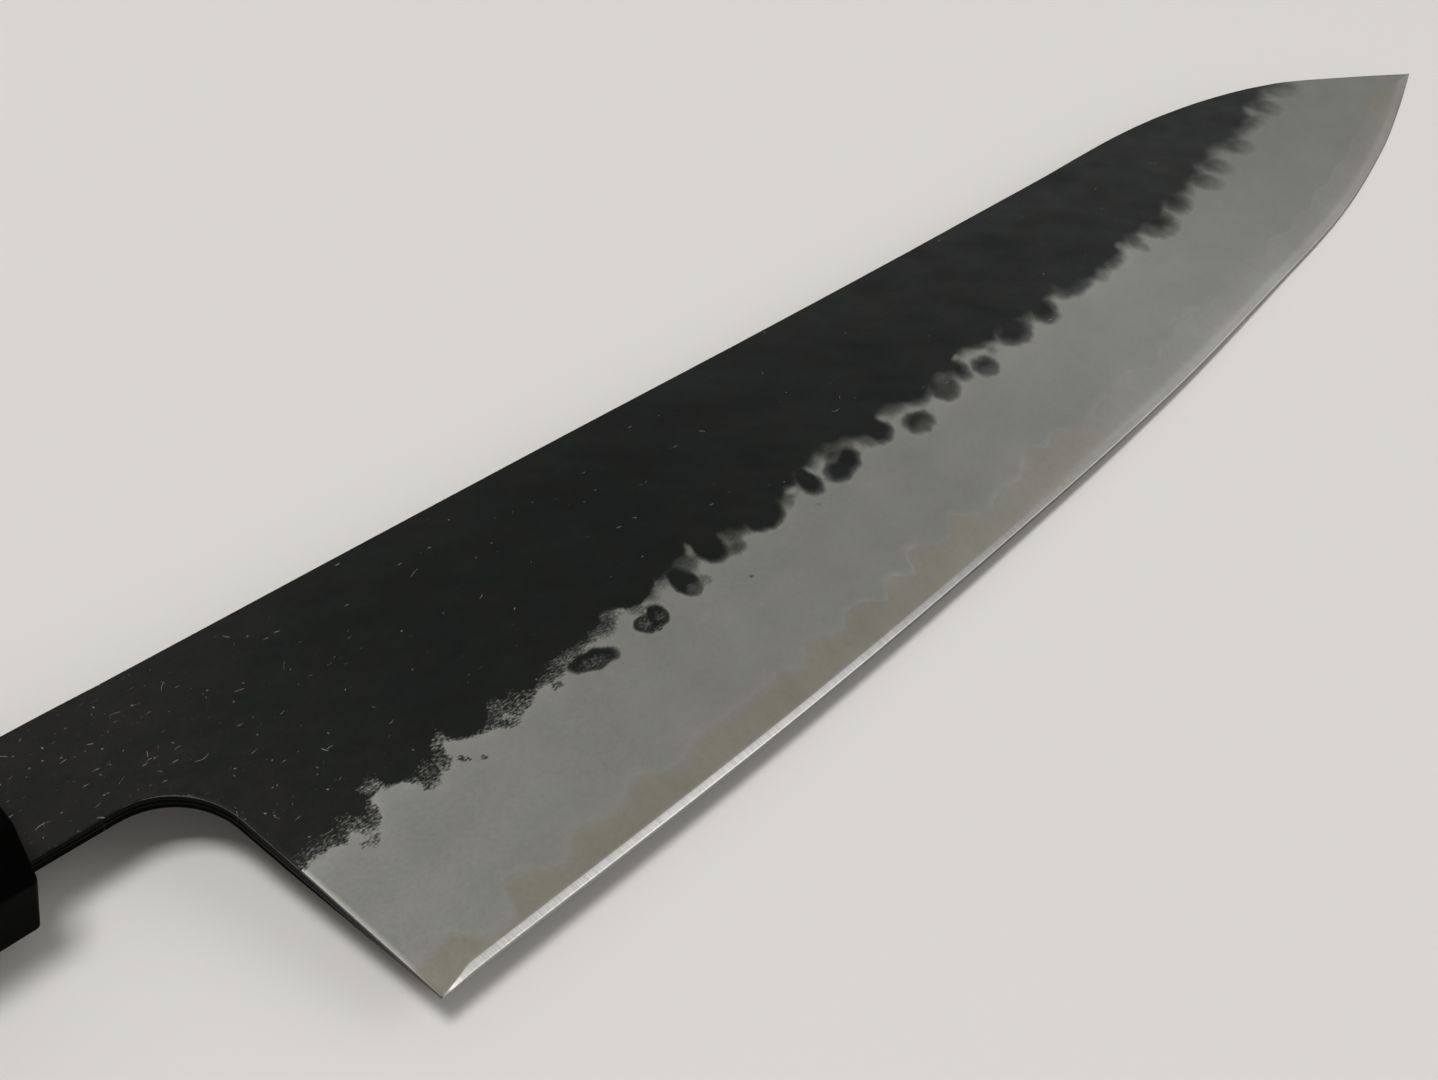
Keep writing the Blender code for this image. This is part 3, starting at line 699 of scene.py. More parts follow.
def oval(u, v, mid_u, mid_v, half_length, half_height, tilt):
    """Distance from the middle of an oval, 1 at its rim. All its sizes are in millimetres."""
    turn = math.radians(tilt)
    across, up = u / MM - mid_u, v / MM - mid_v
    x = (across * math.cos(turn) + up * math.sin(turn)) / half_length
    y = (up * math.cos(turn) - across * math.sin(turn)) / half_height
    return np.hypot(x, y)


def ripples(rng, u, v, height, shortest, longest):
    """Waves in random directions added up. Their lengths are given in millimetres."""
    total = np.zeros(np.broadcast(u, v).shape)
    for _ in range(RIPPLE_WAVES):
        angle, wave = rng.uniform(0, 2 * math.pi), rng.uniform(shortest, longest) * MM
        phase = (u * math.cos(angle) + v * math.sin(angle)) / wave + rng.random()
        total += np.sin(2 * math.pi * phase)
    return total * height / math.sqrt(RIPPLE_WAVES / 2)


def painted_middle_sheen(place, below):
    """Painted reflection: the middle lighter than the ends, more so off the skin; painted shade at the
    heel.
    """
    offset = place - SHEEN_MIDDLE
    offset = np.where(offset > 0, np.maximum(offset - SHEEN_SPREAD * below, 0), offset)
    strength = 1 + SHEEN_GAIN * ease(place, *SHEEN_GAIN_FROM)
    heel_shade = PAINTED_HEEL_SHADE * (1 - ease(place, *PAINTED_HEEL_SHADE_UNTIL))
    return strength * np.exp(-(offset / SHEEN_REACH) ** 2) - heel_shade


class Skin:
    """The black forge skin on one side: how far each point lies inside or outside it."""

    def __init__(self, grind_line, marks, thin_spots, seed):
        self.grind_line = curve_in_mm(grind_line)
        self.marks = marks
        self.thin_spots = thin_spots
        self.seed = seed

    def ragged(self, u, v, height, *waves):
        """The same place, moved a little this way and that."""
        rng = random.Random(self.seed + 1)
        return u + ripples(rng, u, v, height, *waves), v + ripples(rng, u, v, height, *waves)

    def mark_reach(self, u, v):
        """Distance inside the nearest hammer mark in millimetres, below 0 outside it."""
        reach = np.full(u.shape, -9.0)
        for mark in self.marks:
            reach = np.maximum(reach, (1 - oval(u, v, *mark)) * min(mark[2:4]))
        return reach

    def dents(self, u, v):
        """Shallow slanted hollows left by the hammer all over the skin: 0 to 1."""
        rng = random.Random(self.seed)
        hollows = np.zeros(u.shape)
        for _ in range(DENT_COUNT):
            spot = [rng.uniform(*span) for span in DENT_SPANS]
            inside = np.exp(-oval(u, v, *spot) ** 2)
            hollows = np.maximum(hollows, inside * rng.uniform(0.3, 1.0))
        return hollows

    def relief(self, u, v):
        """How far the surface lies below the true planes of the forging and the grind."""
        line = self.grind_line(u)
        reach = np.maximum((v - line) / MM, self.mark_reach(u, v))
        depth = MARK_DEPTH * ease(reach, 0, MARK_RUN) * (1 - ease(v - line, 0, MARK_TOP))
        depth += DENT_DEPTH * self.dents(u, v) * ease(reach, 0, DENT_RUN)
        return depth + ripples(random.Random(self.seed), u, v, GRIND_WAVE, *GRIND_WAVE_LENGTHS)

    def glow_and_painted_sheen(self, u, v):
        """How much lighter the ground iron is coloured: a glow close under the skin, and painted
        reflection.
        """
        below = np.maximum(self.grind_line(u) - v, 0)
        glow = np.exp(-below / mix(*HALO_WIDTHS, ease(u, *HEEL_TO_MIDDLE)))
        glow = glow * (1 - ease(u, *HALO_ENDS))
        return glow + painted_middle_sheen(u / MM, np.minimum(below / MM, SHEEN_DEPTH))

    def border(self, u, v):
        """How well the skin covers each point, below 0 where it is ground off, and its grain."""
        place = u / MM
        calm = mix(1.0, CALMEST, ease(u, *HEEL_TO_MIDDLE))
        rough_u, rough_v = self.ragged(u, v, RIPPLES[0][0] * calm, *RIPPLES[0][1:])
        line = (rough_v - self.grind_line(rough_u)) / MM
        dotted = at_place(DOTTED_BAND, line)
        line = mix(dotted, line / at_place(LINE_BLUR, place), ease(place, *DOTTED_UNTIL))
        rough_u, rough_v = self.ragged(u, v, *RIPPLES[1])
        marks = self.mark_reach(rough_u, rough_v) / at_place(MARK_BLUR, place)
        marks = np.where(marks > 0, marks / MARK_EDGES[0], marks / MARK_EDGES[1])
        cover = np.maximum(line, marks)
        grain = np.where(line > marks - 1, at_place(GRAIN, place), MARK_GRAIN)
        for *spot, dark, grainy in self.thin_spots:
            rim = mix(*SPOT_INSIDE, grainy), mix(*SPOT_OUTSIDE, grainy)
            inside = 1 - ease(oval(rough_u, rough_v, *spot), *rim)
            slope = np.clip((rough_v / MM - spot[1]) / spot[3], -1, 1)
            cleared = 2 * dark - 1 + SPOT_SLOPE * slope
            thinned = mix(np.clip(cover, -SPOT_LIMIT, SPOT_LIMIT), cleared, inside)
            cover = np.where(inside > 0, thinned, cover)
            grain = mix(grain, grainy, inside)
        return cover, grain

    def values(self, u, v):
        """What each point reads: the skin's cover, its wear and dents, and the painted light on the
        iron.
        """
        place = u / MM
        cover, grain = self.border(u, v)
        greying = at_place(GREYING, place) + GREYING_ON_SPINE * ease(v, *SPINE_GREYING_FROM)
        return {
            "cover": cover, "grain": grain, "glow_and_painted_sheen": self.glow_and_painted_sheen(u, v),
            "rubbed": at_place(RUBBED, place), "greying": greying, "dents": self.dents(u, v),
        }


def left_skin():
    """The left side's border: marks along it, islands below it and spots rubbed thin."""
    rng = random.Random(23)
    trend = curve_in_mm(GRIND_TREND_LEFT)
    line, marks, spots = [], [], []
    u = -10.0
    while u < 215:
        middle = trend(u * MM) / MM
        line.append((u, middle + rng.uniform(-0.5, 1.5)))
        if u > 4 and rng.random() < 0.6:
            height = middle + rng.uniform(-1.2, 0.2)
            marks.append((u, height, rng.uniform(1.5, 4), rng.uniform(1.6, 3), 0))
        elif u > 4 and rng.random() < 0.4:
            size = rng.uniform(1, 2.6), rng.uniform(0.8, 1.5)
            marks.append((u, middle - rng.uniform(3, 4.5), *size, rng.uniform(-20, 20)))
        if rng.random() < 0.5:
            size = rng.uniform(1, 3), rng.uniform(0.7, 1.8)
            height = middle - rng.uniform(0.2, 2)
            spots.append((u, height, *size, 0, rng.uniform(0.4, 0.7), rng.random()))
        u += rng.uniform(3.0, 7.0)
    return Skin(line, marks, spots, 5)


def left_core_line():
    """The left side's line, which wanders in its own way."""
    rng = random.Random(11)
    points = [(-8.0, CORE_LINE_HEIGHT / MM)]
    while points[-1][0] < BLADE_LENGTH / MM:
        height = CORE_LINE_HEIGHT / MM + rng.gauss(0, 0.75)
        points.append((points[-1][0] + rng.uniform(1.4, 4.2), height))
    return curve_in_mm(points)


right_skin = Skin(GRIND_LINE_RIGHT, HAMMER_MARKS_RIGHT, THIN_SPOTS_RIGHT, 3)
right_side = Forging(curve_in_mm(CORE_LINE_RIGHT), right_skin)
left_face_skin = left_skin()
left_side = Forging(left_core_line(), left_face_skin)


# ------------------------------------------------------------------------- the core layer
# Hard steel, the middle one of the three layers. It is the cutting edge and the polished
# band above it, and runs on between the soft layers into the tang. The edge itself is a
# narrow bevel cut straight on a coarse stone, which softens towards the tip.

STEEL_TINT = (0.241, 0.238, 0.219)
WARM_HUE = (1.03, 0.985, 0.95, 1.0)
COOL_HUE = (0.97, 1.015, 1.02, 1.0)

# The band's colour along the blade, in shares of the steel's: warm at the heel, and cooler in the
# middle, where its paleness is a painted reflection.
CORE_TINTS_AND_PAINTED_REFLECTION = (
    (0, (0.89, 0.86, 0.77)), (60, (1.00, 0.97, 0.87)), (110, (1.15, 1.135, 1.09)),
    (150, (1.33, 1.335, 1.37)), (190, (1.22, 1.215, 1.23)), (218, (1.09, 1.08, 1.04)),
    (232, (1.00, 0.99, 0.94)),
)
# The stone-cut bevel's steel, coloured much paler than the band as a painted highlight.
BEVEL_TINT_AND_HIGHLIGHT = (0.63, 0.62, 0.59)
EDGE_ROUGHNESS = 0.32
EDGE_BORDER = (0.93, 1.07)

# Painted highlight: the band is painted lighter along the edge towards the tip, a soft sheen with a
# brighter painted line in it.
PAINTED_BAND_SHEEN = 0.36
PAINTED_BAND_SHEEN_FROM = (80.0 * MM, 135.0 * MM)
PAINTED_BAND_SHEEN_HEIGHT = 1.8 * MM
PAINTED_BAND_SHEEN_SHARE = 0.7
PAINTED_LINE_HEIGHT = 1.2 * MM
PAINTED_LINE_WIDTH = 0.55 * MM
PAINTED_LINE_SHARE = 0.6

# Black oxide: greenish and brownish black, coloured greyer towards the tip and rubbed brown by hands.
SCALE_TINT = (0.0022, 0.0040, 0.0029, 1.0)
UMBER_TINT = (0.0036, 0.0034, 0.0028, 1.0)
GREYED_TINT = (0.0160, 0.0176, 0.0173, 1.0)
WARM_GREYED_TINT = (0.0170, 0.0174, 0.0163, 1.0)
RUBBED_TINT = (0.0095, 0.0084, 0.0070, 1.0)
FLECK_TINT = (0.27, 0.26, 0.235, 1.0)
SMEAR_SLANT = math.radians(32.0)

# Scratches in three sizes: spacing, length and width in millimetres, and how many.
SCRATCHES = ((2.3, 0.90, 0.050, 0.8), (1.2, 0.42, 0.060, 0.6), (0.65, 0.16, 0.080, 0.25))

# The rim: bare where it is filed, painted dark there as shade; its corner rougher where hands and
# cloths wear it, and darkened by painted shade; its black walls painted darker as shade.
# Bare filed steel, coloured dark as painted shade.
PAINTED_DARK_FILED_TINT = (0.060, 0.059, 0.056, 1.0)
PAINTED_CORNER_SHADE = 0.6
WORN_ROUGHNESS = 0.6
PAINTED_RIM_SHADE = 0.2


def new_group(name, inputs, outputs):
    """A node group with named sockets: its tree, its inputs and its outputs."""
    tree = bpy.data.node_groups.new(name, "ShaderNodeTree")
    for direction, sockets in (("INPUT", inputs), ("OUTPUT", outputs)):
        for socket, kind in sockets.items():
            tree.interface.new_socket(socket, in_out=direction, socket_type="NodeSocket" + kind)
    given = node(tree, "NodeGroupInput")
    result = node(tree, "NodeGroupOutput")
    return tree, given.outputs, result.inputs


def use_group(tree, group, **inputs):
    """Puts a node group in a material: its outputs."""
    return node(tree, "ShaderNodeGroup", inputs, node_tree=group).outputs


def vector(tree, x=0.0, y=0.0, z=0.0):
    return node(tree, "ShaderNodeCombineXYZ", {0: x, 1: y, 2: z}).outputs[0]


def vector_maths(tree, operation, first, second):
    return node(tree, "ShaderNodeVectorMath", {0: first, 1: second}, operation=operation).outputs[0]


def scaled(tree, colour, factor):
    inputs = {0: colour, "Scale": factor}
    return node(tree, "ShaderNodeVectorMath", inputs, operation="SCALE").outputs[0]


def turned(tree, place, angle):
    """A place turned about the z axis."""
    inputs = {"Vector": place, "Angle": angle}
    return node(tree, "ShaderNodeVectorRotate", inputs, rotation_type="Z_AXIS").outputs[0]


def place_in_mm(tree):
    """Object coordinates in millimetres."""
    return scaled(tree, node(tree, "ShaderNodeTexCoord").outputs["Object"], 1 / MM)


def noise(tree, place, scale, detail=2.0, roughness=0.5):
    """Noise from 0 to 1, with as many waves in a millimetre as the scale says."""
    stretched = vector_maths(tree, "MULTIPLY", place, scale)
    inputs = {"Vector": stretched, "Scale": 1.0, "Detail": detail, "Roughness": roughness}
    return node(tree, "ShaderNodeTexNoise", inputs).outputs["Fac"]


def mix_values(tree, share, low, high):
    return node(tree, "ShaderNodeMix", {0: share, 2: low, 3: high}).outputs[0]


def mix_colours(tree, share, low, high):
    return node(tree, "ShaderNodeMix", {0: share, 6: low, 7: high}, data_type="RGBA").outputs[2]


def varied(tree, base, *shares):
    """A base value with noises added, each one swinging by its share about nothing."""
    for wave, share in shares:
        base = maths(tree, "ADD", base, maths(tree, "MULTIPLY_ADD", wave, share, -share / 2))
    return base


def value_of(tree, name):
    """A value kept on the points of the mesh."""
    return node(tree, "ShaderNodeAttribute", attribute_name=name).outputs["Fac"]


def ground_steel_group():
    """Satin ground steel: fine scratches along the blade over slow, cloudy mottling."""
    tree, given, result = new_group(
        "ground_steel", {"Place": "Vector", "Tint": "Color"},
        {"Colour": "Color", "Roughness": "Float", "Height": "Float"})
    place = given["Place"]
    clouds = noise(tree, place, (0.10, 0.13, 0.13), 4.0, 0.6)
    hues = noise(tree, place, (0.16, 0.20, 0.20), 3.0, 0.6)
    bands = noise(tree, place, (0.05, 0.40, 0.40), 2.0)
    specks = noise(tree, place, (1.6, 2.0, 2.0), 4.0, 0.7)
    scratches = noise(tree, place, (0.5, 14.0, 14.0), 3.0, 0.6)
    shade = varied(tree, 1.0, (clouds, 0.24), (bands, 0.05), (specks, 0.16), (scratches, 0.08))
    hue = mix_colours(tree, hues, WARM_HUE, COOL_HUE)
    tinted = vector_maths(tree, "MULTIPLY", given["Tint"], hue)
    tree.links.new(scaled(tree, tinted, shade), result["Colour"])
    tree.links.new(varied(tree, 0.36, (specks, 0.10), (clouds, 0.06)), result["Roughness"])
    tree.links.new(maths(tree, "ADD", scratches, specks), result["Height"])
    return tree


def scratch_marks_group():
    """Short thin scratches strewn in all directions: 1 on a scratch and 0 off it."""
    tree, given, result = new_group(
        "scratch_marks",
        {"Place": "Vector", "Spacing": "Float", "Reach": "Float", "Width": "Float", "Share": "Float"},
        {"Mask": "Float"})
    inputs = {"Vector": given["Place"], "Scale": maths(tree, "DIVIDE", 1.0, given["Spacing"])}
    cell = node(tree, "ShaderNodeTexVoronoi", inputs, voronoi_dimensions="2D").outputs
    chance = node(tree, "ShaderNodeSeparateColor", {0: cell["Color"]}).outputs
    local = vector_maths(tree, "SUBTRACT", given["Place"], cell["Position"])
    lean = maths(tree, "POWER", remap(tree, chance[0], 0.0, 1.0, -1.0, 1.0, smooth=False), 3.0)
    local = turned(tree, local, product(tree, lean, math.pi / 2))
    place = node(tree, "ShaderNodeSeparateXYZ", {0: local}).outputs
    twist = maths(tree, "FRACT", product(tree, chance[0], 9.0))
    bend = remap(tree, twist, 0.0, 1.0, -0.4, 0.4, smooth=False)
    along = maths(tree, "ABSOLUTE", place[0])
    across = maths(tree, "ADD", place[1], product(tree, place[0], place[0], bend))
    across = maths(tree, "ABSOLUTE", across)
    reach = product(tree, given["Reach"], remap(tree, chance[2], 0.0, 1.0, 0.4, 1.0))
    width = product(tree, given["Width"], remap(tree, chance[0], 0.0, 1.0, 0.6, 1.2))
    within = maths(tree, "SUBTRACT", 1.0, maths(tree, "DIVIDE", along, reach), clamp=True)
    near = maths(tree, "SUBTRACT", 1.0, maths(tree, "DIVIDE", across, width), clamp=True)
    kept = maths(tree, "LESS_THAN", chance[1], given["Share"])
    faint = remap(tree, chance[2], 0.25, 1.0, 0.12, 0.8)
    mask = product(tree, maths(tree, "SQRT", within), maths(tree, "SQRT", near), faint, kept)
    tree.links.new(mask, result["Mask"])
    return tree


def forge_scale_group():
    """Black oxide from the fire: matt, granular, with pale scratches where it is handled."""
    tree, given, result = new_group(
        "forge_scale", {"Place": "Vector", "Rubbed": "Float", "Ash": "Float"},
        {"Colour": "Color", "Roughness": "Float", "Height": "Float"})
    place = given["Place"]
    clouds = noise(tree, place, (0.10, 0.14, 0.14), 4.0, 0.6)
    hues = noise(tree, place, (0.15, 0.18, 0.18), 4.0, 0.6)
    grains = noise(tree, place, (2.0, 2.4, 2.4), 4.0, 0.7)
    smears = noise(tree, place, (0.25, 0.5, 0.5), 4.0, 0.65)
    slanted = turned(tree, place, SMEAR_SLANT)
    streaks = noise(tree, slanted, (0.10, 0.45, 0.45), 3.0, 0.6)
    ground = mix_colours(tree, remap(tree, hues, 0.40, 0.68), SCALE_TINT, UMBER_TINT)
    greyed = mix_colours(tree, remap(tree, hues, 0.40, 0.62), GREYED_TINT, WARM_GREYED_TINT)
    handled = product(tree, given["Rubbed"], remap(tree, smears, 0.3, 0.75, 0.6, 3.4))
    ground = mix_colours(tree, given["Ash"], ground, greyed)
    ground = mix_colours(tree, handled, ground, RUBBED_TINT)
    shade = varied(tree, 1.0, (clouds, 0.5), (grains, 0.9), (smears, 0.6), (streaks, 0.65))
    black = scaled(tree, ground, shade)
    strewn = product(tree, given["Rubbed"], remap(tree, smears, 0.35, 0.65, 0.3, 2.2))
    scratched = 0.0
    for spacing, reach, width, share in SCRATCHES:
        marks = use_group(tree, scratch_marks, Place=place, Spacing=spacing, Reach=reach,
                          Width=width, Share=product(tree, strewn, share))
        scratched = maths(tree, "MAXIMUM", scratched, marks["Mask"])
    broken = remap(tree, grains, 0.36, 0.60, 0.3, 1.0)
    colour = mix_colours(tree, product(tree, scratched, broken), black, FLECK_TINT)
    tree.links.new(colour, result["Colour"])
    tree.links.new(varied(tree, 0.58, (grains, 0.18), (clouds, 0.12)), result["Roughness"])
    tree.links.new(varied(tree, 0.5, (grains, 1.0), (smears, 0.8), (streaks, 1.2)), result["Height"])
    return tree


def finish_surface(tree, output, colour, roughness, height, depth, **fixed):
    """The shader that most finishes end in. The fixed values go on its own sockets."""
    bump = node(tree, "ShaderNodeBump", {"Strength": 1.0, "Distance": depth, "Height": height})
    inputs = {"Base Color": colour, "Roughness": roughness, "Normal": bump.outputs[0]}
    inputs.update({name.replace("_", " "): value for name, value in fixed.items()})
    shader = node(tree, "ShaderNodeBsdfPrincipled", inputs)
    tree.links.new(shader.outputs[0], output.inputs["Surface"])


def rim_material():
    """The narrow walls: black from the fire, painted darker as shade, and bare filed steel behind the
    heel.
    """
    material, tree, output = new_material("blade_rim")
    place = place_in_mm(tree)
    scale = use_group(tree, forge_scale, Place=place, Rubbed=0.1, Ash=0.0)
    # Painted shade: the filed steel is coloured dark.
    filed = use_group(tree, ground_steel, Place=place, Tint=PAINTED_DARK_FILED_TINT)
    bare = value_of(tree, "filed")
    # Painted shade: the walls' black is coloured darker than on the faces.
    painted_shade_black = scaled(tree, scale["Colour"], PAINTED_RIM_SHADE)
    colour = mix_colours(tree, bare, painted_shade_black, filed["Colour"])
    roughness = mix_values(tree, bare, scale["Roughness"], filed["Roughness"])
    height = mix_values(tree, bare, scale["Height"], filed["Height"])
    finish_surface(tree, output, colour, roughness, height, depth=0.01 * MM,
                   Metallic=bare, Specular_IOR_Level=0.02)
    return material


def core_steel_material():
    """Polished olive-grey steel with painted reflections, and a stone-cut bevel with a painted
    highlight.
    """
    material, tree, output = new_material("core_steel")
    place = place_in_mm(tree)
    along, above = value_of(tree, "along"), value_of(tree, "above")
    tint_and_painted_reflection = node(tree, "ShaderNodeValToRGB", {"Fac": maths(tree, "DIVIDE", along, BLADE_LENGTH / MM)})
    stops = tint_and_painted_reflection.color_ramp.elements
    for index, (distance, factor) in enumerate(CORE_TINTS_AND_PAINTED_REFLECTION):
        stop = stops[index] if index < len(stops) else stops.new(1.0)
        stop.position = distance * MM / BLADE_LENGTH
        stop.color = (*(a * b for a, b in zip(STEEL_TINT, factor)), 1.0)
    stains = noise(tree, place, (0.7, 0.25, 0.25), 4.0, 0.65)
    clean = varied(tree, 1.0, (stains, 0.18))
    # Painted highlight: the sheen and the bright line along the edge.
    light = maths(tree, "MULTIPLY_ADD", value_of(tree, "sheen"), PAINTED_BAND_SHEEN, clean)
    past_border = maths(tree, "MAXIMUM", remap(tree, value_of(tree, "depth"), 0.0, 1.1),
                        remap(tree, along, 65.0, 95.0))
    # Painted reflection: the steel beside the core line is coloured lighter towards the middle of the
    # blade.
    glow = maths(tree, "MULTIPLY_ADD", value_of(tree, "glow_and_painted_sheen"), GLOW_AND_PAINTED_SHEEN, 1.0)
    tint = mix_colours(tree, past_border, scaled(tree, STEEL_TINT, glow), tint_and_painted_reflection.outputs["Color"])
    satin = use_group(tree, ground_steel, Place=place, Tint=scaled(tree, tint, light))
    strokes = noise(tree, vector(tree, along, above), (7.0, 0.5, 1.0), 3.0, 0.7)
    # Painted highlight on the bevel, fading towards the tip.
    painted_bevel_shine = product(tree, remap(tree, strokes, 0.3, 0.7, 0.72, 1.0),
                    remap(tree, along, 20.0, 95.0, 1.0, 0.48))
    bevel, corner = value_of(tree, "bevel"), value_of(tree, "corner")
    colour = mix_colours(tree, bevel, satin["Colour"], scaled(tree, BEVEL_TINT_AND_HIGHLIGHT, painted_bevel_shine))
    # Painted shade on the rounded corner of the rim.
    colour = scaled(tree, colour, maths(tree, "MULTIPLY_ADD", corner, -PAINTED_CORNER_SHADE, 1.0))
    roughness = mix_values(tree, bevel, satin["Roughness"], EDGE_ROUGHNESS)
    roughness = mix_values(tree, corner, roughness, WORN_ROUGHNESS)
    height = mix_values(tree, bevel, satin["Height"], strokes)
    finish_surface(tree, output, colour, roughness, height, depth=0.003 * MM, Metallic=1.0)
    return material


def make_core():
    """Both faces from the edge to the core line, and the buried walls between the layers."""
    shell = Shell()
    faces, buried = [], []
    for side, half in ((1, right_side), (-1, left_side)):
        visible = slice(0, half.line_row + 1)
        crisp = 1 - ease(half.along, *CONVEX_FROM)
        way_up = half.above / np.maximum(half.bevel, SMALLEST)
        # Painted highlight along the edge: a soft sheen and a bright line.
        off_line = (half.above - PAINTED_LINE_HEIGHT) / PAINTED_LINE_WIDTH
        sheen = PAINTED_BAND_SHEEN_SHARE * np.exp(-half.above / PAINTED_BAND_SHEEN_HEIGHT)
        sheen += PAINTED_LINE_SHARE * np.exp(-off_line ** 2)
        values = {
            "along": np.broadcast_to(half.along, half.u.shape) / MM,
            "above": half.above / MM,
            "depth": (half.above[half.line_row] - half.above) / MM,
            "glow_and_painted_sheen": np.broadcast_to(painted_middle_sheen(half.along / MM, SHEEN_DEPTH), half.u.shape),
            "sheen": ease(half.along, *PAINTED_BAND_SHEEN_FROM) * sheen,
            "bevel": (1 - ease(way_up, *EDGE_BORDER)) * crisp,
            **half.rim_values(),
        }
        face = shell.sheet(half, visible, side, half.half[visible], values)
        depth = np.maximum(half.core - WELD_SEAM, 0)
        inside = shell.sheet(half, [half.choil_row, -1], side, depth, half.rim_values())
        inside = np.vstack((face[-1], inside))
        shell.skin(face, FACE_SLOT)
        shell.skin(inside, RIM_SLOT)
        faces.append(face)
        buried.append(inside)
    heel = right_side.neck_columns
    shell.wall(buried[0][2], buried[1][2])
    shell.wall(buried[0][1][:heel + 1], buried[1][1][:heel + 1])
    shell.cap(faces[0][:, heel], (buried[0][1][heel], buried[1][1][heel]), faces[1][::-1, heel])
    shell.cap((buried[0][1][0], buried[0][2][0], buried[1][2][0], buried[1][1][0]))
    piece = shell.make("core_layer", (core_steel_material(), blade_rim))
    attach(piece, "root")
    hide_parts("blade_core")


ground_steel = ground_steel_group()
scratch_marks = scratch_marks_group()
forge_scale = forge_scale_group()
blade_rim = rim_material()
make_core()


# ------------------------------------------------------------------------ the soft layers
# Two layers of soft iron over the core. Above, they keep the black skin of the forge. The
# wide bevel is ground through it to bare grey metal, down to where the core comes out.

COOL_STEEL_TINT = (0.238, 0.2405, 0.2245, 1.0)
WORN_TINT = (0.125, 0.122, 0.115, 1.0)
# Painted shade in the hammer dents of the skin.
PAINTED_DENT_SHADE = 0.55
WELD_LINE_HEIGHT = 0.25
WELD_LINE_WIDTH = 0.6
WORN_FROM = (0.40, 0.85)
RAGGED = (0.3, 0.5)
GRIT = 3.0
COVER_SLOPE = 0.55


def soft_iron_material():
    """Black skin over ground iron, with a border that is sharp, grainy or smoky in turn."""
    material, tree, output = new_material("forged_face")
    place = place_in_mm(tree)
    cover, grain = value_of(tree, "cover"), value_of(tree, "grain")
    greying, corner = value_of(tree, "greying"), value_of(tree, "corner")
    scale = use_group(tree, forge_scale, Place=place, Rubbed=value_of(tree, "rubbed"), Ash=greying)
    # Painted shade: the skin is coloured darker in the hammer dents and lighter between them.
    painted_dent_shade = maths(tree, "MULTIPLY_ADD", value_of(tree, "dents"), -PAINTED_DENT_SHADE, 1.0 + PAINTED_DENT_SHADE / 2)
    black = scaled(tree, scale["Colour"], painted_dent_shade)

    patches = noise(tree, place, (0.35, 0.35, 0.35), 3.0, 0.6)
    nicks = noise(tree, place, (3.5, 3.5, 3.5), 2.0)
    worn = varied(tree, value_of(tree, "worn"), (patches, 0.8), (nicks, 0.6))
    worn = remap(tree, worn, *WORN_FROM)
    weld = product(tree, value_of(tree, "weld"), remap(tree, patches, 0.35, 0.65, 0.3, 1.6))
    # Painted reflection lightens the ground iron towards the middle, besides the glow under the skin
    # and the weld line.
    light = maths(tree, "MULTIPLY_ADD", value_of(tree, "glow_and_painted_sheen"), GLOW_AND_PAINTED_SHEEN, maths(tree, "ADD", weld, 1.0))
    # Painted shade on the rounded corner of the rim.
    light = product(tree, light, maths(tree, "MULTIPLY_ADD", corner, -PAINTED_CORNER_SHADE, 1.0))
    tint = scaled(tree, mix_colours(tree, greying, (*STEEL_TINT, 1.0), COOL_STEEL_TINT), light)
    steel = use_group(tree, ground_steel, Place=place, Tint=tint)

    ragged = maths(tree, "SUBTRACT", noise(tree, place, (1.3, 2.4, 2.4), 4.0, 0.65), 0.5)
    cover = maths(tree, "MULTIPLY_ADD", ragged, mix_values(tree, grain, *RAGGED), cover)
    grit = maths(tree, "SUBTRACT", noise(tree, place, (2.0, 5.0, 5.0), 3.0, 0.65), 0.5)
    scatter = product(tree, grit, product(tree, grain, grain, GRIT))
    level = maths(tree, "MULTIPLY_ADD", cover, COVER_SLOPE, scatter)
    thin = maths(tree, "SUBTRACT", 0.5, level, clamp=True)
    bare = maths(tree, "MAXIMUM", product(tree, thin, thin), worn)
    skin = maths(tree, "SUBTRACT", 1.0, bare)

    colour = mix_colours(tree, worn, steel["Colour"], WORN_TINT)
    colour = mix_colours(tree, skin, colour, black)
    roughness = mix_values(tree, corner, steel["Roughness"], WORN_ROUGHNESS)
    roughness = mix_values(tree, skin, roughness, scale["Roughness"])
    height = mix_values(tree, skin, steel["Height"], scale["Height"])
    finish_surface(tree, output, colour, roughness, height, depth=0.006 * MM,
                   Metallic=bare, Specular_IOR_Level=0.10)
    return material


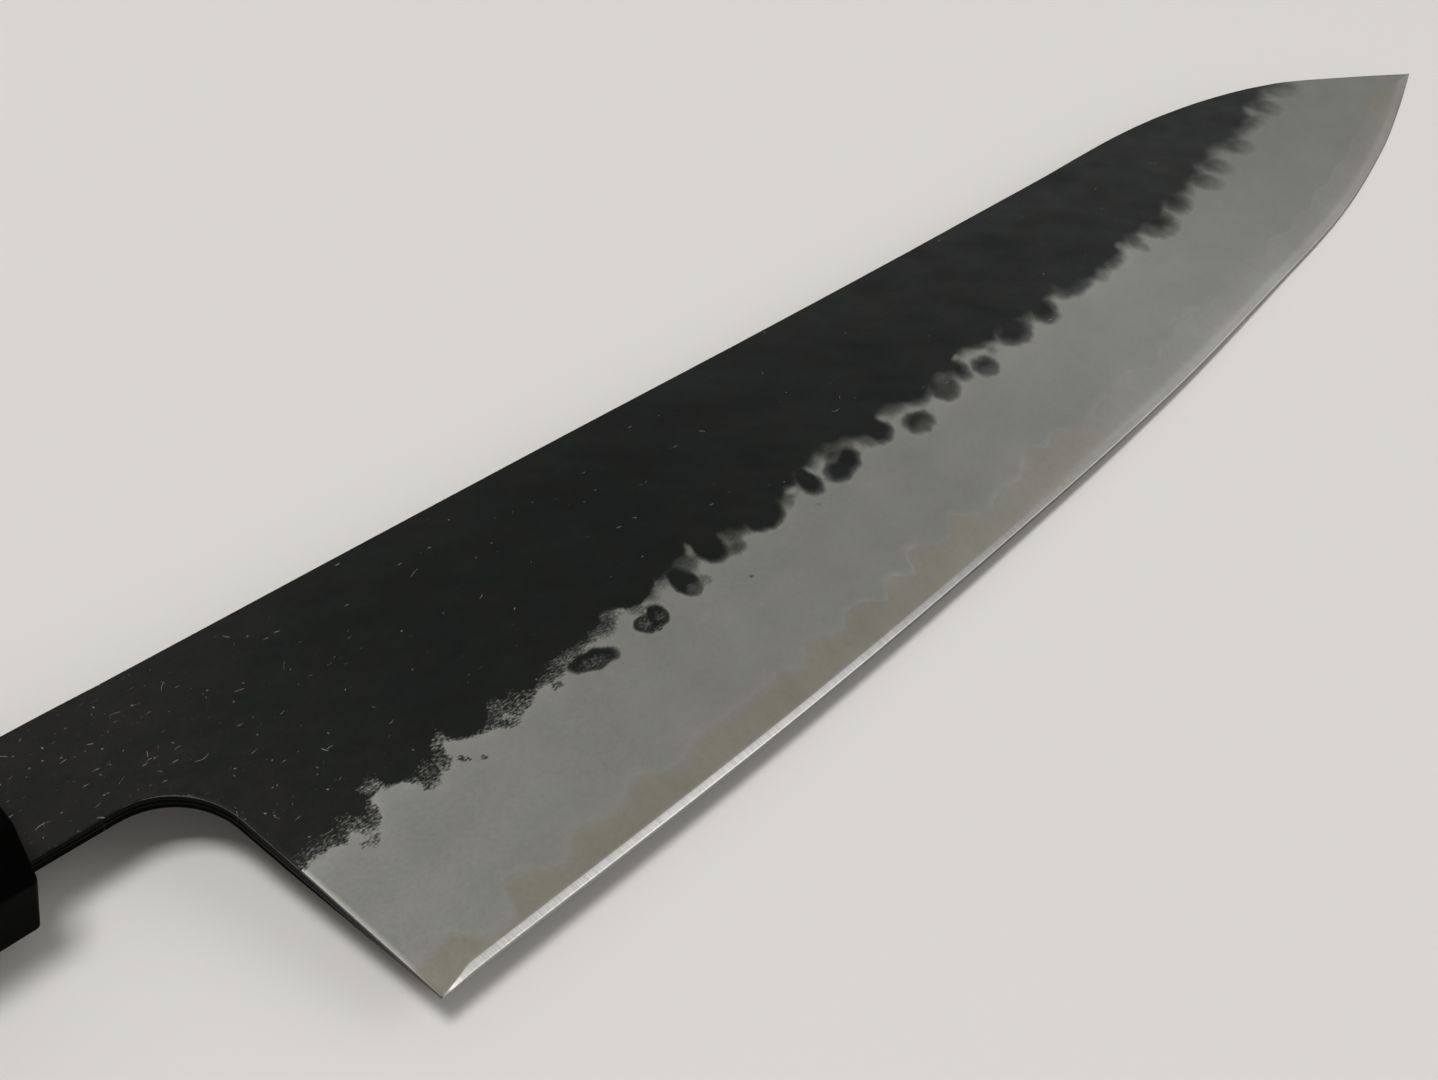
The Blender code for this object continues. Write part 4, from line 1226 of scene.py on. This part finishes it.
def make_soft_layer(name, node_name, side, half, skin):
    """The face from the core line to the spine, and the hidden side against the core."""
    shell = Shell()
    rim = half.rim_values()
    gap = half.above - half.above[half.line_row]
    seam = np.exp(-((gap / MM - WELD_LINE_HEIGHT) / WELD_LINE_WIDTH) ** 2)
    weld = seam * at_place(WELD, half.along / MM)
    values = {"weld": weld, **skin.values(half.u, half.v), **rim}
    face = shell.sheet(half, slice(half.line_row, None), side, half.half[half.line_row:], values)
    inside = shell.sheet(half, [half.choil_row, -1], side, half.core, rim)
    heel, choil = half.neck_columns, half.choil_row - half.line_row
    shell.skin(face, FACE_SLOT)
    shell.skin(np.vstack((face[0], inside)), RIM_SLOT)
    shell.wall(face[-1], inside[1])
    shell.wall(face[choil][:heel + 1], inside[0][:heel + 1])
    shell.cap(face[:choil + 1, heel], (inside[0][heel],))
    shell.cap(face[choil:, 0], (inside[1][0], inside[0][0]))
    piece = shell.make(name, (soft_iron, blade_rim))
    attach(piece, "root")
    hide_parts(node_name)


soft_iron = soft_iron_material()
make_soft_layer("right_layer", "cladding_right", 1, right_side, right_skin)
make_soft_layer("left_layer", "cladding_left", -1, left_side, left_face_skin)


# -------------------------------------------------------------------- the ferrule and body
# An eight-sided handle in two blocks: a ferrule of polished black horn in front, and a body
# of oiled walnut. Each is planed from a squared blank, bored for the dowel and slotted for
# the tang, and then its corners and ends are eased. The two are glued on the dowel.

HANDLE_WIDTH = 19.4 * MM
HANDLE_HEIGHTS = (22.0 * MM, 24.4 * MM)
FACET_SIZE = (3.8 * MM, 5.1 * MM)
CORNER_RADIUS = 0.9 * MM
CORNER_STEPS = 6
END_EASE = 0.5 * MM
END_STEPS = 5
BORE_DIAMETER = 15.0 * MM
BORE_SIDES = 72
SLOT_CLEARANCE = 0.3 * MM
CUT_MARGIN = 2.0 * MM
SHARPEST_SMOOTH = math.radians(35.0)

HORN_TINT = (0.0010, 0.0010, 0.0009, 1.0)
HORN_FIBRE_TINT = (0.0065, 0.0045, 0.0030, 1.0)
WALNUT_TINT = (0.170, 0.092, 0.050, 1.0)
WALNUT_DARK_TINT = (0.070, 0.035, 0.019, 1.0)
PORE_TINT = (0.022, 0.012, 0.007, 1.0)
PITH = (0.0, 46.0, -30.0)
RING_STRETCH = (0.06, 1.0, 1.0)


def moved(tree, geometry, **inputs):
    """A geometry moved, turned or both."""
    return node(tree, "GeometryNodeTransform", {"Geometry": geometry, **inputs}).outputs[0]


def reshaped(tree, geometry, **inputs):
    """A geometry with each of its points put in its place or moved by an offset."""
    return node(tree, "GeometryNodeSetPosition", {"Geometry": geometry, **inputs}).outputs[0]


def point_place(tree):
    """Where each point lies: its x, y and z."""
    place = node(tree, "GeometryNodeInputPosition").outputs[0]
    return node(tree, "ShaderNodeSeparateXYZ", {0: place}).outputs


def octagon_profile(tree, given):
    """The section as a curve round the middle line: eight points, then rounded corners."""
    circle = node(tree, "GeometryNodeCurvePrimitiveCircle", {"Resolution": 8, "Radius": 1.0})
    eight = moved(tree, circle.outputs[0], Rotation=(0.0, 0.0, math.radians(22.5)))
    place = point_place(tree)
    upper = maths(tree, "GREATER_THAN", *(maths(tree, "ABSOLUTE", place[i]) for i in (0, 1)))
    beside = maths(tree, "SUBTRACT", 1.0, upper)
    corner = []
    for i, (size, where) in enumerate((("Height", beside), ("Width", upper))):
        taken = product(tree, given["Facet " + size], where)
        reach = maths(tree, "SUBTRACT", product(tree, given[size], 0.5), taken)
        corner.append(product(tree, reach, maths(tree, "SIGN", place[i])))
    shaped = reshaped(tree, eight, Position=vector(tree, *corner))
    inputs = {"Curve": shaped, "Count": given["Corner Steps"], "Radius": given["Corner Radius"]}
    return node(tree, "GeometryNodeFilletCurve", inputs, mode="POLY").outputs[0]


def eased_path(tree, given):
    """The middle line, with close points at both ends, and the section's scale at each."""
    steps = given["End Steps"]
    count = maths(tree, "MULTIPLY_ADD", steps, 2.0, 2.0)
    rear, front = vector(tree, given["Rear"]), vector(tree, given["Front"])
    line = node(tree, "GeometryNodeCurvePrimitiveLine", {"Start": rear, "End": front})
    path = node(tree, "GeometryNodeResampleCurve", {"Curve": line.outputs[0], "Count": count})
    index = node(tree, "GeometryNodeInputIndex").outputs[0]
    from_front = maths(tree, "SUBTRACT", maths(tree, "SUBTRACT", count, 1.0), index)
    near_front = maths(tree, "LESS_THAN", from_front, index)
    nearest = maths(tree, "MINIMUM", index, from_front)
    angle = product(tree, maths(tree, "DIVIDE", nearest, steps), math.pi / 2)
    flat, steep = maths(tree, "COSINE", angle), maths(tree, "SINE", angle)
    run = product(tree, given["End Ease"], maths(tree, "SUBTRACT", 1.0, flat))
    inset = product(tree, given["End Ease"], maths(tree, "SUBTRACT", 1.0, steep))
    rear_x = maths(tree, "ADD", given["Rear"], run)
    front_x = maths(tree, "SUBTRACT", given["Front"], run)
    place = vector(tree, mix_values(tree, near_front, rear_x, front_x))
    share = maths(tree, "DIVIDE", inset, product(tree, given["Width"], 0.5))
    curve = reshaped(tree, path.outputs[0], Position=place)
    return curve, maths(tree, "SUBTRACT", 1.0, share)


def cut_span(tree, given, name):
    """The length of a cut along the handle, and its middle."""
    front, rear = given[name + " Front"], given[name + " Rear"]
    middle = product(tree, maths(tree, "ADD", front, rear), 0.5)
    return maths(tree, "SUBTRACT", front, rear), middle


def round_bore(tree, given):
    """The cutter for the dowel's hole."""
    length, middle = cut_span(tree, given, "Bore")
    radius = product(tree, given["Bore Diameter"], 0.5)
    inputs = {"Vertices": BORE_SIDES, "Radius": radius, "Depth": length}
    rod = node(tree, "GeometryNodeMeshCylinder", inputs).outputs[0]
    return moved(tree, rod, Translation=vector(tree, middle), Rotation=(0.0, math.pi / 2, 0.0))


def square_slot(tree, given):
    """The cutter for the slot that the neck or the tang goes through."""
    length, middle = cut_span(tree, given, "Slot")
    size = vector(tree, length, given["Slot Height"], given["Slot Width"])
    block = node(tree, "GeometryNodeMeshCube", {"Size": size}).outputs[0]
    return moved(tree, block, Translation=vector(tree, middle, given["Slot Lift"]))


def handle_block_tree():
    """Nodes for one block: a tapering octagon along the middle line, bored and slotted."""
    tree = bpy.data.node_groups.new("handle_block", "GeometryNodeTree")
    sizes = (
        "Front", "Rear", "Height", "Width", "Taper", "Taper Start", "Facet Height", "Facet Width",
        "Corner Radius", "End Ease", "Bore Front", "Bore Rear", "Bore Diameter",
        "Slot Front", "Slot Rear", "Slot Height", "Slot Width", "Slot Lift",
    )
    sockets = [(name, "Float") for name in sizes]
    sockets += [("Corner Steps", "Int"), ("End Steps", "Int")]
    sockets += [("Middle", "Vector"), ("Finish", "Material")]
    for name, kind in sockets:
        tree.interface.new_socket(name, in_out="INPUT", socket_type="NodeSocket" + kind)
    tree.interface.new_socket("Block", in_out="OUTPUT", socket_type="NodeSocketGeometry")
    given = node(tree, "NodeGroupInput").outputs
    result = node(tree, "NodeGroupOutput").inputs

    path, scale = eased_path(tree, given)
    section = octagon_profile(tree, given)
    inputs = {"Curve": path, "Profile Curve": section, "Scale": scale, "Fill Caps": True}
    solid = node(tree, "GeometryNodeCurveToMesh", inputs).outputs[0]
    place = point_place(tree)
    back = maths(tree, "SUBTRACT", given["Taper Start"], place[0])
    growth = product(tree, back, given["Taper"], 0.5, maths(tree, "SIGN", place[1]))
    solid = reshaped(tree, solid, Offset=vector(tree, 0.0, growth))
    for cutter in (round_bore(tree, given), square_slot(tree, given)):
        cut = node(tree, "GeometryNodeMeshBoolean", {"Mesh 1": solid, "Mesh 2": cutter},
                   operation="DIFFERENCE", solver="EXACT")
        solid = cut.outputs[0]
    solid = moved(tree, solid, Translation=given["Middle"])
    angle = node(tree, "GeometryNodeInputMeshEdgeAngle").outputs["Unsigned Angle"]
    crease = maths(tree, "GREATER_THAN", angle, SHARPEST_SMOOTH)
    inputs = {"Geometry": solid, "Selection": crease, "Shade Smooth": False}
    solid = node(tree, "GeometryNodeSetShadeSmooth", inputs, domain="EDGE").outputs[0]
    whole = node(tree, "GeometryNodeRealizeInstances", {"Geometry": solid}).outputs[0]
    inputs = {"Geometry": whole, "Material": given["Finish"]}
    tree.links.new(node(tree, "GeometryNodeSetMaterial", inputs).outputs[0], result["Block"])
    return tree


def make_block(name, node_name, finish, bore, slot):
    """Shapes one block between its ends, with a bore and a slot, and puts it on the knife."""
    low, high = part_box(node_name)
    length = ferrule_high.x - body_low.x
    slot_low, slot_high = slot
    values = {
        "Front": high.x, "Rear": low.x, "Height": HANDLE_HEIGHTS[0], "Width": HANDLE_WIDTH,
        "Taper": (HANDLE_HEIGHTS[1] - HANDLE_HEIGHTS[0]) / length, "Taper Start": ferrule_high.x,
        "Facet Height": FACET_SIZE[0], "Facet Width": FACET_SIZE[1],
        "Corner Radius": CORNER_RADIUS, "Corner Steps": CORNER_STEPS,
        "End Ease": END_EASE, "End Steps": END_STEPS,
        "Bore Front": bore[1], "Bore Rear": bore[0], "Bore Diameter": BORE_DIAMETER,
        "Slot Front": slot_high.x, "Slot Rear": slot_low.x,
        "Slot Height": slot_high.y - slot_low.y, "Slot Width": slot_high.z - slot_low.z,
        "Slot Lift": (slot_low.y + slot_high.y) / 2 - handle_middle.y,
        "Middle": handle_middle, "Finish": finish,
    }
    piece = new_object(name, bpy.data.meshes.new(name))
    shape = piece.modifiers.new("shape", "NODES")
    shape.node_group = handle_block
    for socket in handle_block.interface.items_tree:
        if socket.in_out == "INPUT":
            shape[socket.identifier] = values[socket.name]
    piece.modifiers.new("flat facets", "WEIGHTED_NORMAL").keep_sharp = True
    shown = piece.evaluated_get(bpy.context.evaluated_depsgraph_get())
    mesh = bpy.data.meshes.new_from_object(shown)
    piece.modifiers.clear()
    piece.data = mesh
    mesh.materials.clear()
    mesh.materials.append(finish)
    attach(piece, "root")
    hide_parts(node_name)


def horn_material():
    """Polished black horn: fibres run along it, a few of them brown, with hand-polish marks."""
    material, tree, output = new_material("polished_horn")
    place = place_in_mm(tree)
    fibres = noise(tree, place, (0.07, 2.4, 2.4), 4.0, 0.7)
    clouds = noise(tree, place, (0.05, 0.14, 0.14), 3.0)
    polish = noise(tree, place, (5.0, 0.4, 0.4), 3.0, 0.7)
    brown = product(tree, remap(tree, fibres, 0.52, 0.80), remap(tree, clouds, 0.35, 0.70))
    colour = mix_colours(tree, brown, HORN_TINT, HORN_FIBRE_TINT)
    roughness = varied(tree, 0.48, (fibres, 0.12), (clouds, 0.10), (polish, 0.06))
    height = varied(tree, 0.5, (fibres, 0.8), (polish, 0.4))
    finish_surface(tree, output, colour, roughness, height, depth=0.004 * MM, Specular_IOR_Level=0.008)
    return material


def walnut_material():
    """Oiled walnut: growth rings round a pith outside the handle, and dark open pores."""
    material, tree, output = new_material("oiled_walnut")
    place = place_in_mm(tree)
    from_pith = vector_maths(tree, "SUBTRACT", place, PITH)
    inputs = {
        "Vector": vector_maths(tree, "MULTIPLY", from_pith, RING_STRETCH), "Scale": 0.075,
        "Distortion": 5.5, "Detail": 3.0, "Detail Scale": 0.35, "Detail Roughness": 0.55,
    }
    rings = node(tree, "ShaderNodeTexWave", inputs, wave_type="RINGS", rings_direction="X",
                 wave_profile="SAW").outputs["Fac"]
    figure = noise(tree, place, (0.018, 0.16, 0.16), 4.0, 0.55)
    fibres = noise(tree, place, (0.10, 3.2, 3.2), 4.0, 0.7)
    pores = noise(tree, place, (0.14, 3.6, 3.6), 1.0, 0.4)
    dark = product(tree, remap(tree, rings, 0.15, 1.0), remap(tree, figure, 0.25, 0.70, 0.15, 0.9))
    wood = mix_colours(tree, dark, WALNUT_TINT, WALNUT_DARK_TINT)
    shade = varied(tree, 1.0, (figure, 0.6), (fibres, 0.45))
    open_pore = remap(tree, varied(tree, pores, (rings, 0.10)), 0.66, 0.74)
    colour = mix_colours(tree, open_pore, scaled(tree, wood, shade), PORE_TINT)
    roughness = varied(tree, 0.47, (fibres, 0.14), (figure, 0.10))
    height = maths(tree, "SUBTRACT", varied(tree, 1.0, (fibres, 0.25)), open_pore)
    finish_surface(tree, output, colour, roughness, height, depth=0.04 * MM, Specular_IOR_Level=0.4)
    return material


body_low, body_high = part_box("handle_body")
dowel_low, dowel_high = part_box("handle_dowel")
fill_low, fill_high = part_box("tang_fill")
handle_middle = Vector((0.0, (body_low.y + body_high.y) / 2, (body_low.z + body_high.z) / 2))
handle_block = handle_block_tree()
spare = Vector((SLOT_CLEARANCE,) * 3)

# The spine rises further along, so the neck's top lies a little below the blade's.
neck_low_y = core_high.y - (SPINE_SHAPE[4][1] - 1.0) * HEEL_HEIGHT - NECK_HEIGHT
mouth_low_y = neck_low_y - SLOT_CLEARANCE
mouth_high_y = neck_low_y + NECK_HEIGHT + SLOT_CLEARANCE
mouth_reach = NECK_THICKNESS / 2 + SLOT_CLEARANCE
mouth = (
    Vector((dowel_high.x - CUT_MARGIN, mouth_low_y, handle_middle.z - mouth_reach)),
    Vector((ferrule_high.x + CUT_MARGIN, mouth_high_y, handle_middle.z + mouth_reach)),
)
ferrule_bore = (ferrule_low.x - CUT_MARGIN, dowel_high.x + SLOT_CLEARANCE)
make_block("horn_ferrule", "ferrule", horn_material(), ferrule_bore, mouth)
tang_hole = (fill_low - spare, Vector((dowel_low.x + CUT_MARGIN, *(fill_high + spare)[1:])))
body_bore = (dowel_low.x - SLOT_CLEARANCE, body_high.x + CUT_MARGIN)
make_block("walnut_body", "handle_body", walnut_material(), body_bore, tang_hole)


# ------------------------------------------------------------------- the dowel and the wax
# Both are hidden in the finished handle. The dowel is a plain turned rod of pale wood with
# a slot down its middle, and wax poured round the hot tang fills that slot. Their shapes
# are right as they are, so only their finishes change.

DOWEL_TINT = (0.50, 0.36, 0.21, 1.0)
DOWEL_GRAIN_TINT = (0.33, 0.21, 0.11, 1.0)
WAX_TINT = (0.56, 0.40, 0.17, 1.0)
WAX_CLOUD_TINT = (0.42, 0.26, 0.09, 1.0)


def dowel_material():
    """Pale straight-grained wood, turned and left plain."""
    material, tree, output = new_material("pale_dowel")
    place = place_in_mm(tree)
    grain = noise(tree, place, (0.03, 0.9, 0.9), 4.0, 0.6)
    fibres = noise(tree, place, (0.2, 5.0, 5.0), 3.0, 0.7)
    colour = mix_colours(tree, remap(tree, grain, 0.35, 0.70), DOWEL_TINT, DOWEL_GRAIN_TINT)
    colour = scaled(tree, colour, varied(tree, 1.0, (fibres, 0.25)))
    roughness = varied(tree, 0.62, (fibres, 0.16))
    finish_surface(tree, output, colour, roughness, fibres, depth=0.02 * MM)
    return material


def wax_material():
    """Set amber wax, cloudy and slightly dimpled."""
    material, tree, output = new_material("set_wax")
    place = place_in_mm(tree)
    clouds = noise(tree, place, (0.25, 0.4, 0.4), 4.0, 0.6)
    dimples = noise(tree, place, (1.2, 1.2, 1.2), 2.0)
    colour = mix_colours(tree, clouds, WAX_TINT, WAX_CLOUD_TINT)
    roughness = varied(tree, 0.42, (dimples, 0.15), (clouds, 0.10))
    finish_surface(tree, output, colour, roughness, dimples, depth=0.05 * MM)
    return material


for name, finish in (("handle_dowel", dowel_material()), ("tang_fill", wax_material())):
    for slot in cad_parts[name].material_slots:
        slot.material = finish
